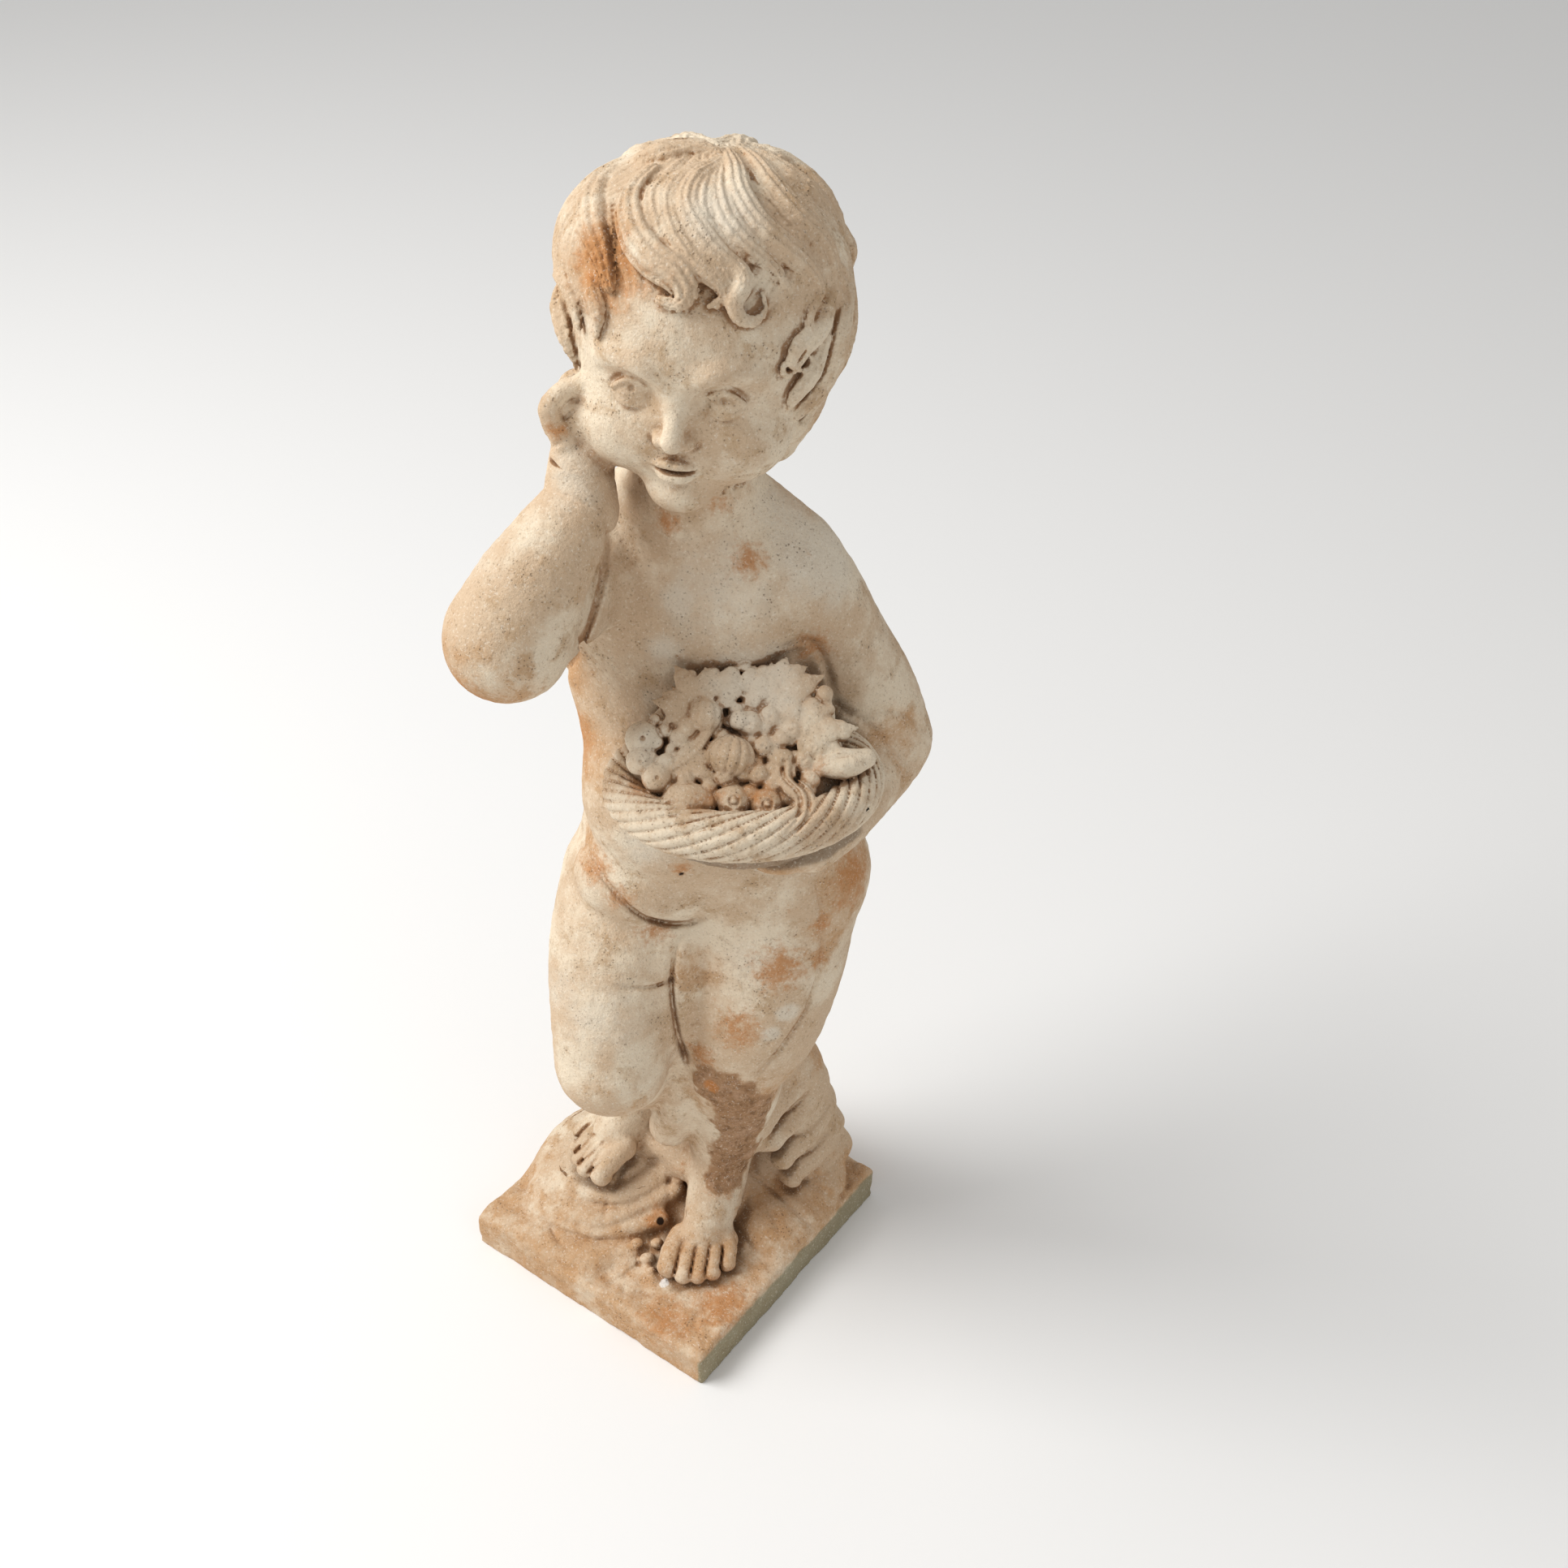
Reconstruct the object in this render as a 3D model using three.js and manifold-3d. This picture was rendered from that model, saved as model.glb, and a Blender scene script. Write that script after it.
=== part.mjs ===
// A cast-stone garden statue: a chubby child stands corner-wise on a square slab, one knee
// forward over a rocky mound, one hand at the cheek, the other arm round a basket of fruit.
// Everything is one casting, so it is one solid: soft-edged forms are blended in a distance
// field, the field is meshed once, thinned, and cut flat where the slab meets the ground.
// Millimetres, +Z up. The figure looks along -Y while it is modelled; points are written
// [side, front, up]: side to the figure's left, front the way it faces, up from the ground.
import * as THREE from "three";
import { edgeTable, triTable } from "three/addons/objects/MarchingCubes.js";
import { mergeVertices } from "three/addons/utils/BufferGeometryUtils.js";
import Module from "manifold-3d";

// ---------------------------------------------------------------- driving dimensions
const TOTAL_HEIGHT = 850;
const SLAB_SIDE = 222;
const SLAB_THICKNESS = 29;
const CORNER_TURN = 41;
const TORSO_TURN = 18;
const HEAD_CENTRE = [38, 14, 758];
const HEAD_TURN = 14;
const HEAD_NOD = 3;
const HEAD_LEAN = 4;
const BASKET_CENTRE = [52, 84, 498];
const RIM_HALF_WIDTH = 70;
const RIM_HALF_DEPTH = 51;
const RIM_THICKNESS = 26;
const ROPE_GROOVE = 4;
const CELL = 3;
const TRIANGLE_BUDGET = 9600;

// ---------------------------------------------------------------- frames and the field
const RAD = Math.PI / 180;

function frame(origin, turn = 0, nod = 0, lean = 0) {
  const euler = new THREE.Euler(nod * RAD, lean * RAD, -turn * RAD, "ZXY");
  const axis = (x, y, z) => new THREE.Vector3(x, y, z).applyEuler(euler);
  const [side, front, up] = origin;
  return {
    origin: new THREE.Vector3(side, -front, up),
    side: axis(1, 0, 0),
    front: axis(0, -1, 0),
    up: axis(0, 0, 1),
  };
}

function place(base, [side, front, up]) {
  const point = base.origin.clone();
  point.addScaledVector(base.side, side);
  point.addScaledVector(base.front, front);
  return point.addScaledVector(base.up, up);
}

const forms = [];

// kind is "add", "cut" or "dent"; reach is how far from its centre line a form acts.
function form(kind, blend, points, reach, distance) {
  const bounds = new THREE.Box3().setFromPoints(points).expandByScalar(reach + blend + 3 * CELL);
  forms.push({ kind, blend, bounds, distance });
}

function softMin(a, b, blend) {
  const share = Math.max(blend - Math.abs(a - b), 0) / blend;
  return Math.min(a, b) - share * share * blend * 0.25;
}

// ---------------------------------------------------------------- shapes
// An ellipsoid with its half sizes along the side, front and up of its frame.
function ellipsoid(base, centre, [a, b, c], blend, kind = "add") {
  const o = place(base, centre);
  const { side, front, up } = base;
  form(kind, blend, [o], Math.max(a, b, c), (x, y, z) => {
    const dx = x - o.x;
    const dy = y - o.y;
    const dz = z - o.z;
    const u = (dx * side.x + dy * side.y + dz * side.z) / a;
    const v = (dx * front.x + dy * front.y + dz * front.z) / b;
    const w = (dx * up.x + dy * up.y + dz * up.z) / c;
    const k0 = Math.hypot(u, v, w);
    const k1 = Math.hypot(u / a, v / b, w / c);
    return k1 < 1e-9 ? -Math.min(a, b, c) : (k0 * (k0 - 1)) / k1;
  });
}

// Points [side, front, up, radius] joined by a smooth curve and cut into short straight pieces.
function spine(base, points, steps) {
  const curve = new THREE.CatmullRomCurve3(points.map((p) => place(base, p)));
  const radii = new THREE.SplineCurve(points.map((p, i) => new THREE.Vector2(i, p[3])));
  const count = steps * (points.length - 1);
  return Array.from({ length: count + 1 }, (_, i) => ({
    at: curve.getPoint(i / count),
    radius: radii.getPoint(i / count).y,
  }));
}

// Nearest distance to a spine's centre line and the radius there.
function nearest(pieces, x, y, z, skin) {
  let best = Infinity;
  for (const p of pieces) {
    const px = x - p.ax;
    const py = y - p.ay;
    const pz = z - p.az;
    const h = Math.min(Math.max((px * p.bx + py * p.by + pz * p.bz) / p.square, 0), 1);
    let qx = px - h * p.bx;
    let qy = py - h * p.by;
    let qz = pz - h * p.bz;
    if (p.flat !== 1) {
      const along = (qx * p.nx + qy * p.ny + qz * p.nz) * (p.flat - 1);
      qx += along * p.nx;
      qy += along * p.ny;
      qz += along * p.nz;
    }
    const d = Math.hypot(qx, qy, qz) - (skin ? p.r0 + h * (p.r1 - p.r0) : 0);
    if (d < best) {
      best = d;
    }
  }
  return best;
}

// flat above 1 squashes the section by that much along the direction away from a centre.
function pieces(line, flat = 1, away = null) {
  return line.slice(1).map((end, i) => {
    const start = line[i];
    const b = end.at.clone().sub(start.at);
    const n = away ? start.at.clone().sub(away).normalize() : b;
    return {
      ax: start.at.x, ay: start.at.y, az: start.at.z,
      bx: b.x, by: b.y, bz: b.z,
      nx: n.x, ny: n.y, nz: n.z,
      square: Math.max(b.lengthSq(), 1e-6),
      r0: start.radius, r1: end.radius, flat,
    };
  });
}

function limb(base, points, blend, steps = 4, flat = 1, away = null) {
  const line = spine(base, points, steps);
  const parts = pieces(line, flat, away);
  const reach = Math.max(...line.map((p) => p.radius));
  form("add", blend, line.map((p) => p.at), reach, (x, y, z) => nearest(parts, x, y, z, true));
}

// A crease pressed into the surface along a curve: the radius of each point is its depth.
function crease(base, points, width, steps = 5) {
  const line = spine(base, points, steps);
  const parts = pieces(line);
  const depth = Math.max(...line.map((p) => p.radius));
  form("dent", 0, line.map((p) => p.at), width * 2, (x, y, z) => {
    const d = nearest(parts, x, y, z, false) / width;
    return depth * Math.exp(-d * d);
  });
}

// A trunk of ellipses stacked up the height: [up, side, front, half width, half depth].
function trunk(base, stations, blend) {
  const heights = stations.map((s) => s[0]);
  const values = stations.flatMap((s) => s.slice(1));
  const section = new THREE.CubicInterpolant(heights, values, 4);
  const low = heights[0];
  const high = heights[heights.length - 1];
  const middle = place(base, [0, 0, (low + high) / 2]);
  form("add", blend, [middle], (high - low) / 2 + 20, (x, y, z) => {
    const [side, front, a, b] = section.evaluate(Math.min(Math.max(z, low), high));
    const dx = x - side;
    const dy = y + front;
    const u = dx * base.side.x + dy * base.side.y;
    const v = dx * base.front.x + dy * base.front.y;
    const k0 = Math.hypot(u / a, v / b);
    const k1 = Math.hypot(u / (a * a), v / (b * b));
    const wall = k1 < 1e-9 ? -Math.min(a, b) : (k0 * (k0 - 1)) / k1;
    return Math.max(wall, low - z, z - high);
  });
}

// ---------------------------------------------------------------- slab and rocky mound
const world = frame([0, 0, 0]);

function slab() {
  const base = frame([0, 0, 0], CORNER_TURN);
  const half = SLAB_SIDE / 2;
  const round = 6;
  form("add", 4, [base.origin], half * 1.5, (x, y, z) => {
    const u = x * base.side.x + y * base.side.y;
    const v = x * base.front.x + y * base.front.y;
    const wave = 1.1 * Math.sin(u * 0.11) * Math.sin(v * 0.09) + 0.8 * Math.sin(z * 0.3 + u * 0.05);
    const du = Math.max(Math.abs(u) - half + round, 0);
    const dv = Math.max(Math.abs(v) - half + round, 0);
    const dz = Math.max(z - SLAB_THICKNESS + round, 0);
    return Math.max(Math.hypot(du, dv, dz) - round + wave * 0.6, -z - 8);
  });
}

function mound() {
  ellipsoid(world, [-42, -30, 26], [70, 58, 47], 12);
  ellipsoid(world, [-70, -8, 24], [44, 44, 34], 10);
  ellipsoid(world, [40, -20, 24], [60, 60, 30], 12);
  limb(world, [[82, -38, 20, 54], [84, -40, 80, 42], [84, -34, 122, 32], [82, -28, 140, 25]], 12);
  limb(world, [[20, -70, 20, 50], [30, -62, 70, 34], [40, -50, 96, 26]], 12);
  // flat ledges of the rock behind the standing leg, each one further out than the one above
  for (let i = 0; i < 5; i += 1) {
    const up = 138 - 21 * i;
    const out = 12 + 8 * i;
    limb(
      world,
      [
        [92, -60, up, 11],
        [83 + out, -34, up - 3, 13],
        [69 + out, -4, up - 10, 12],
        [52 + out, 14, up - 20, 9],
      ],
      9,
      4,
      1.5,
      new THREE.Vector3(80, 30, -1500),
    );
  }
  // flat wedges of rock between the standing foot and the right corner
  limb(world, [[74, -4, 58, 12], [96, 14, 42, 9], [116, 26, 33, 7]], 8);
  limb(world, [[66, 22, 44, 10], [84, 40, 34, 7], [100, 52, 30, 5]], 8);
  // nested hanging folds between the raised foot and the standing foot
  for (let i = 0; i < 4; i += 1) {
    const drop = 18 * i;
    limb(
      world,
      [
        [-98 + 9 * i, -22 + 0.4 * drop, 62 - 4 * i, 6],
        [-84 + 8 * i, 14 + 0.55 * drop - 10, 46 - 2 * i, 7],
        [-52 + 5 * i, 30 + 0.5 * drop - 12, 37 - i, 7],
        [-20 + 2 * i, 14 + 0.6 * drop - 12, 38 - i, 6],
        [4, -16 + 0.8 * drop - 8, 46, 5],
      ],
      5,
    );
  }
  limb(world, [[-138, 14, 27, 5], [-108, 36, 31, 7], [-66, 54, 33, 7], [-34, 70, 30, 5]], 6);
  // the rock keeps within the slab's footprint
  const base = frame([0, 0, 0], CORNER_TURN);
  const half = SLAB_SIDE / 2 - 1;
  form("cut", 6, [base.origin], half * 1.5, (x, y, z) => {
    const u = Math.abs(x * base.side.x + y * base.side.y);
    const v = Math.abs(x * base.front.x + y * base.front.y);
    const overhang = Math.max(z - SLAB_THICKNESS, 0) * 0.04;
    return half - overhang - Math.max(u, v);
  });
}

// ---------------------------------------------------------------- legs
function foot(base, inward) {
  const s = inward;
  limb(
    base,
    [
      [-2 * s, -48, 17, 19], [-1 * s, -20, 22, 20], [1 * s, 12, 19, 18], [5 * s, 30, 14, 15],
    ],
    6,
  );
  limb(base, [[-2 * s, -24, 44, 21], [-1 * s, 0, 32, 20], [4 * s, 24, 20, 15]], 8);
  limb(base, [[18 * s, 32, 11, 12], [-14 * s, 28, 11, 11]], 6);
  const toes = [[25, 62, 9], [12, 66, 7], [1, 64, 6.6], [-10, 58, 6.3], [-20, 48, 6]];
  for (const [side, tip, radius] of toes) {
    limb(
      base,
      [
        [side * 0.78 * s, 32, 14, radius], [side * 0.95 * s, tip - 12, 12, radius * 0.9],
        [side * s, tip - radius, 7.5, radius],
      ],
      1.5,
      3,
    );
  }
}

function legs() {
  // standing leg, then the back of its thigh
  limb(
    world,
    [
      [75, 0, 350, 58], [66, 10, 292, 59], [55, 20, 242, 53], [46, 27, 203, 37], [43, 14, 160, 36],
      [38, 10, 112, 28], [33, 11, 76, 22],
    ],
    14,
  );
  limb(
    world,
    [
      [92, -16, 345, 42], [90, -14, 290, 38], [80, -12, 236, 32], [66, -14, 190, 29],
      [54, -6, 148, 27],
    ],
    10,
  );
  ellipsoid(world, [44, 45, 200], [27, 18, 24], 10);
  foot(frame([27, 30, 30], 14), -1);
  // bent leg: thigh forward, shin back down to the mound
  limb(world, [[-16, -4, 350, 50], [-31, 22, 312, 46], [-37, 44, 272, 42], [-39, 57, 240, 39]], 5);
  // casting web behind the knees
  limb(world, [[22, -34, 50, 40], [16, -24, 140, 28], [12, -14, 210, 24], [12, -6, 250, 22]], 8);
  limb(world, [[-40, 54, 236, 35], [-27, 14, 185, 31], [-8, -34, 122, 22]], 6);
  foot(frame([-24, -34, 76], 56, 9), 1);
}

// ---------------------------------------------------------------- trunk of the body
function torso() {
  const base = frame([0, 0, 0], TORSO_TURN);
  trunk(
    base,
    [
      [318, 36, -4, 74, 44],
      [350, 36, -2, 91, 52],
      [380, 37, 0, 91, 56],
      [410, 34, 4, 83, 58],
      [445, 31, 5, 76, 57],
      [484, 26, 3, 74, 54],
      [530, 22, 0, 78, 51],
      [570, 23, -4, 78, 47],
      [604, 25, -5, 70, 40],
      [632, 27, -2, 50, 34],
      [652, 29, 2, 36, 31],
    ],
    10,
  );
  ellipsoid(base, [18, 24, 440], [57, 44, 60], 14);
  ellipsoid(base, [-6, 32, 378], [42, 30, 34], 12);
  // chest, shoulder blades, buttocks
  ellipsoid(base, [-8, 8, 576], [42, 26, 34], 24);
  ellipsoid(base, [50, 8, 576], [42, 26, 34], 24);
  ellipsoid(base, [-8, -36, 560], [28, 16, 34], 14);
  ellipsoid(base, [52, -36, 560], [28, 16, 34], 14);
  ellipsoid(base, [0, -34, 352], [48, 38, 46], 20);
  ellipsoid(base, [78, -34, 352], [48, 38, 46], 20);
}

function creases() {
  crease(
    world,
    [
      [-52, 38, 412, 3], [-32, 58, 388, 5], [-8, 62, 368, 6], [12, 62, 360, 6], [30, 64, 362, 3],
    ],
    5,
  );
  crease(world, [[-44, 84, 322, 1], [-22, 82, 322, 4], [6, 66, 314, 4]], 3);
  crease(world, [[6, 62, 352, 3], [4, 64, 320, 6], [2, 64, 280, 6], [3, 62, 240, 4]], 5);
  crease(
    world,
    [
      [101, 32, 384, 1.5], [105, 28, 320, 1.5], [105, 28, 280, 2], [96, 28, 245, 2],
      [84, 30, 212, 2], [71, 34, 194, 2],
    ],
    2.5,
  );
  crease(world, [[48, -58, 402, 2], [50, -66, 366, 8], [48, -66, 324, 8], [44, -54, 300, 3]], 7);
  crease(world, [[38, -54, 600, 2], [42, -54, 500, 4], [49, -56, 430, 2.5]], 9);
  crease(world, [[-20, -50, 306, 1], [6, -62, 304, 4], [36, -62, 306, 3]], 5);
  crease(world, [[62, -64, 306, 3], [86, -56, 300, 4], [112, -40, 304, 1]], 5);
}

// ---------------------------------------------------------------- arms and hands
function arms() {
  // left arm: hangs out from the shoulder, forearm forward under the basket
  limb(
    world,
    [
      [66, 12, 602, 34], [88, 10, 586, 35], [111, 4, 540, 34], [134, 0, 492, 34],
      [145, 4, 462, 32],
    ],
    8,
  );
  limb(world, [[34, -6, 648, 24], [66, 2, 626, 24], [84, 6, 606, 26]], 12);
  limb(world, [[24, -6, 648, 24], [-8, -14, 626, 24], [-26, -12, 606, 26]], 12);
  limb(world, [[139, 8, 450, 32], [126, 40, 444, 28], [108, 72, 442, 23], [92, 90, 442, 20]], 3);
  ellipsoid(frame([80, 96, 444], 60), [0, 0, 0], [20, 30, 11], 8);
  for (let i = 0; i < 4; i += 1) {
    limb(
      world,
      [
        [64 - 3 * i, 110 - 12 * i, 447, 8], [46 - 4 * i, 112 - 12 * i, 448, 7],
        [32, 110 - 12 * i, 449, 6],
      ],
      2,
      3,
    );
  }
  // right arm: elbow forward and out, forearm up, loose fist at the cheek
  limb(world, [[-26, -8, 600, 36], [-50, 26, 600, 36], [-70, 60, 600, 35], [-78, 78, 600, 35]], 8);
  limb(world, [[-78, 78, 601, 35], [-64, 74, 629, 31], [-47, 62, 650, 26], [-36, 50, 662, 22]], 4);
  limb(world, [[-33, 44, 662, 21], [-34, 38, 683, 19], [-38, 32, 704, 15]], 3);
  ellipsoid(world, [-35, 26, 714], [13, 24, 16], 3);
  for (let i = 0; i < 4; i += 1) {
    const front = 44 - 11 * i;
    limb(
      world,
      [
        [-36, front - 2, 704, 8],
        [-47, front - 1, 715, 7.5],
        [-45, front - 2, 725, 7.5],
        [-32, front - 4, 733, 7],
      ],
      1,
      3,
    );
  }
  limb(world, [[-24, 40, 672, 9], [-18, 28, 684, 8], [-14, 16, 694, 7]], 2, 3);
  crease(world, [[-54, 50, 676, 3], [-38, 64, 670, 4], [-18, 64, 656, 3]], 3);
  crease(world, [[126, 42, 496, 2], [134, 36, 496, 6], [150, 26, 492, 6], [170, 14, 474, 3]], 4);
  // fold at the armpit
  crease(world, [[82, 44, 556, 4], [92, 40, 560, 7], [98, 40, 545, 5], [104, 38, 520, 3]], 7);
}

// ---------------------------------------------------------------- head, face and hair
const head = frame(HEAD_CENTRE, HEAD_TURN, HEAD_NOD, HEAD_LEAN);
const SKULL = [73, 79, 76];

function headAndFace() {
  limb(world, [[28, 4, 630, 36], [33, 8, 700, 36]], 10);
  ellipsoid(head, [0, -6, 6], SKULL, 6);
  ellipsoid(head, [0, 18, -36], [57, 52, 50], 14);
  for (const s of [-1, 1]) {
    ellipsoid(head, [28 * s, 40, -42], [25, 24, 23], 12);
    ellipsoid(head, [24 * s, 72, -10], [15, 10, 9], 5, "cut");
    ellipsoid(head, [23 * s, 59, -12], [12, 11, 9], 2);
    limb(head, [[12 * s, 66, -12, 2], [24 * s, 71, -4, 2.6], [36 * s, 61, -12, 2]], 2);
    ellipsoid(head, [23 * s, 62, 6], [20, 10, 7], 8);
    ellipsoid(head, [7 * s, 71, -33], [5, 5, 4.5], 3);
  }
  limb(head, [[0, 66, -2, 5], [0, 71, -18, 4.5], [0, 76, -30, 6.5]], 5);
  limb(head, [[-14, 65, -50, 2], [-5, 69, -47, 3.4], [0, 69, -48, 3], [5, 69, -47, 3.4], [14, 65, -50, 2]], 3);
  limb(head, [[-10, 65, -54, 2.6], [0, 67, -56, 4.4], [10, 65, -54, 2.6]], 3);
  crease(head, [[-15, 67, -51, 1], [0, 74, -51, 2.4], [15, 67, -51, 1]], 2);
  ellipsoid(head, [0, 50, -72], [18, 14, 13], 12);
}

// A point over the skull: bearing from the brow round to the figure's left, height angle, lift.
function overSkull(bearing, height, lift) {
  const b = bearing * RAD;
  const h = height * RAD;
  const direction = [Math.sin(b) * Math.cos(h), Math.cos(b) * Math.cos(h), Math.sin(h)];
  const scale = 1 / Math.hypot(...direction.map((d, i) => d / SKULL[i]));
  return [
    direction[0] * (scale + lift),
    direction[1] * (scale + lift) - 6,
    direction[2] * (scale + lift) + 6,
  ];
}

// A lock of hair laid over the skull through [bearing, height] angles. It swells, then tapers;
// curl adds a closing hook of that radius, turning left or right by its sign.
function lock(route, width, lift, curl = 0) {
  const points = route.map(([bearing, height], i) => {
    const share = i / (route.length - 1);
    const swell = width * (0.55 + 0.45 * Math.sin(Math.PI * Math.min(share * 1.15, 1)));
    return [...overSkull(bearing, height, (lift * swell) / width), swell];
  });
  if (curl) {
    const [b0, h0] = route[route.length - 2];
    const [b1, h1] = route[route.length - 1];
    const heading = Math.atan2(h1 - h0, (b1 - b0) * Math.cos(h1 * RAD));
    const size = Math.abs(curl);
    const spin = Math.sign(curl);
    const centre = heading + spin * Math.PI * 0.5;
    for (let i = 1; i <= 5; i += 1) {
      const angle = centre + Math.PI + spin * i * 0.95;
      const radius = size * (1 - 0.08 * i);
      const b = b1 + (size * Math.cos(centre) + radius * Math.cos(angle)) / Math.cos(h1 * RAD);
      const h = h1 + size * Math.sin(centre) + radius * Math.sin(angle);
      points.push([...overSkull(b, h, lift * 0.5), width * (0.66 - 0.06 * i)]);
    }
  }
  const line = spine(head, points, 3);
  const parts = pieces(line, 1.25, head.origin);
  form("add", 2, line.map((p) => p.at), width * 1.3, (x, y, z) => nearest(parts, x, y, z, true));
}

function hair() {
  // the close cap under the locks, fuller at the right temple and down to the nape
  ellipsoid(head, [2, -14, 13], [78, 77, 76], 3);
  ellipsoid(head, [-29, -8, 31], [55, 62, 51], 8);
  ellipsoid(head, [-2, -26, -28], [70, 52, 56], 8);
  ellipsoid(head, [44, -12, -66], [25, 34, 36], 10);
  // fringe: from the crown forward over the brow
  lock([[-20, 80], [-74, 72], [-90, 58]], 9, 6);
  lock([[-80, 84], [-118, 62], [-104, 50], [-95, 38]], 10, 5);
  lock([[-60, 62], [-47, 44], [-34, 33], [-20, 27]], 12, 5);
  lock([[-20, 76], [-28, 60], [-20, 49], [-7, 40], [7, 35]], 11, 5, -6);
  lock([[26, 84], [-4, 68], [-2, 57], [12, 45], [22, 34]], 9, 6, 5);
  lock([[52, 84], [8, 72], [11, 57], [26, 45], [38, 39], [46, 34]], 9, 6, -7);
  lock([[66, 82], [26, 70], [30, 57], [42, 47], [50, 36]], 9, 5, -6);
  lock([[70, 80], [34, 64], [50, 54], [64, 43], [76, 31]], 11, 6, -9);
  lock([[126, 78], [86, 67], [82, 53], [94, 37], [88, 20], [76, 6]], 11, 5, -6);
  lock([[166, 66], [134, 54], [124, 38], [120, 22], [112, 4]], 12, 4, -6);
  // left side and nape
  lock([[102, 24], [92, 8], [82, -8], [80, -28], [74, -44]], 12, 4);
  lock([[72, 12], [61, 4], [59, -10], [64, -24]], 9, 3, 5);
  lock([[118, 8], [108, -12], [98, -30], [92, -44]], 11, 4);
  // right side
  lock([[-80, 44], [-76, 32], [-70, 19]], 10, 4, 6);
  lock([[-86, 24], [-74, 8], [-60, -6]], 10, 4, 5);
  lock([[-56, 22], [-46, 12], [-36, 2]], 9, 3);
  lock([[-98, 10], [-86, -10], [-74, -24]], 10, 4, 5);
  // back of the head
  for (let i = 0; i < 6; i += 1) {
    const bearing = 128 + i * 22;
    const curl = i % 2 ? 6 : -6;
    lock([[bearing - 20, 70], [bearing - 4, 46], [bearing + 8, 22], [bearing - 4, -4]], 12, 4, curl);
    lock([[bearing + 10, 4], [bearing - 2, -20], [bearing + 6, -42]], 12, 3, -curl);
  }
}

// ---------------------------------------------------------------- basket of fruit
const basket = frame(BASKET_CENTRE);

function basketBowl() {
  const floor = -52;
  form("add", 4, [place(basket, [0, 0, floor / 2])], RIM_HALF_WIDTH, (x, y, z) => {
    const dx = x - basket.origin.x;
    const dy = y - basket.origin.y;
    const dz = z - basket.origin.z;
    const share = Math.min(Math.max((dz - floor) / -floor, 0), 1);
    const swell = 0.58 + 0.36 * Math.sqrt(share);
    const a = RIM_HALF_WIDTH * swell;
    const b = RIM_HALF_DEPTH * swell;
    const k0 = Math.hypot(dx / a, dy / b);
    const k1 = Math.hypot(dx / (a * a), dy / (b * b));
    const wall = k1 < 1e-9 ? -b : (k0 * (k0 - 1)) / k1;
    return Math.max(wall, floor - dz, dz - 4);
  });
}

// The rim is a rope of three strands laid round the oval.
function basketRim() {
  const strands = 3;
  const laps = 36;
  form("add", 2, [basket.origin], RIM_HALF_WIDTH + RIM_THICKNESS / 2, (x, y, z) => {
    const dx = x - basket.origin.x;
    const dy = y - basket.origin.y;
    const dz = z - basket.origin.z;
    const round = Math.atan2(dy / RIM_HALF_DEPTH, dx / RIM_HALF_WIDTH);
    const ox = RIM_HALF_WIDTH * Math.cos(round);
    const oy = RIM_HALF_DEPTH * Math.sin(round);
    const out = Math.hypot(dx, dy) - Math.hypot(ox, oy);
    const section = Math.atan2(dz, out);
    const strand = Math.abs(Math.sin((strands * section + laps * round) / 2));
    return Math.hypot(out, dz) - RIM_THICKNESS / 2 + ROPE_GROOVE * (1 - strand) ** 2;
  });
}

function fruit() {
  // the heap leans up against the belly and chest
  ellipsoid(frame([50, 80, 511], 0, 36), [0, 0, 0], [63, 52, 20], 2);
  ellipsoid(frame([56, 60, 525], 0, 40), [0, 0, 0], [54, 34, 20], 2);
  const round = [
    [44, 115, 507, 9.5], [63, 117, 505, 9.5], [1, 103, 517, 9], [-8, 95, 523, 8.5], [-6, 84, 531, 10.5],
    [56, 83, 536, 8], [68, 80, 538, 7], [80, 86, 532, 6.5], [63, 93, 527, 6.5], [74, 99, 521, 7],
    [86, 99, 520, 6.5], [71, 106, 514, 6.5], [59, 105, 516, 6.5], [31, 79, 540, 10.5],
  ];
  for (const [side, front, up, radius] of round) {
    ellipsoid(world, [side, front, up], [radius, radius, radius], 1);
  }
  ellipsoid(frame([17, 112, 508], 8), [0, 0, 0], [14, 10, 9.5], 1);
  ellipsoid(world, [44, 95, 524], [15, 13, 13], 1);
  ellipsoid(frame([110, 100, 518], 50, 20), [0, 0, 0], [17, 9, 9], 1);
  // a fig with its curling husk
  limb(world, [[33, 80, 540, 10], [28, 86, 533, 6], [20, 93, 526, 4], [8, 100, 520, 3]], 1);
  // leaves lying on the heap, flattened across its slope
  const below = new THREE.Vector3(50, 438, -80);
  const leaves = [
    [[30, 74, 545, 5], [22, 64, 553, 9], [16, 56, 560, 2]],
    [[36, 72, 547, 5], [44, 65, 553, 8], [54, 58, 559, 2]],
    [[52, 68, 549, 4], [61, 65, 552, 5], [70, 63, 554, 2]],
    [[64, 74, 544, 6], [81, 67, 550, 12], [100, 64, 554, 3]],
    [[70, 64, 553, 4], [80, 60, 556, 6], [90, 60, 556, 2]],
    [[87, 88, 532, 5], [103, 84, 536, 9], [119, 87, 532, 3]],
    [[22, 73, 545, 5], [13, 71, 547, 7], [3, 75, 543, 2]],
    [[12, 97, 524, 4], [23, 102, 520, 7], [35, 107, 515, 3]],
  ];
  for (const leaf of leaves) {
    limb(world, leaf, 1, 4, 1.8, below);
  }
  limb(
    world,
    [
      [76, 104, 519, 4], [75, 112, 513, 6], [84, 119, 507, 7], [84, 126, 500, 7],
      [74, 131, 494, 4],
    ],
    1,
    3,
  );
}

slab();
mound();
torso();
legs();
arms();
creases();
headAndFace();
hair();
basketBowl();
basketRim();
fruit();

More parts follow.
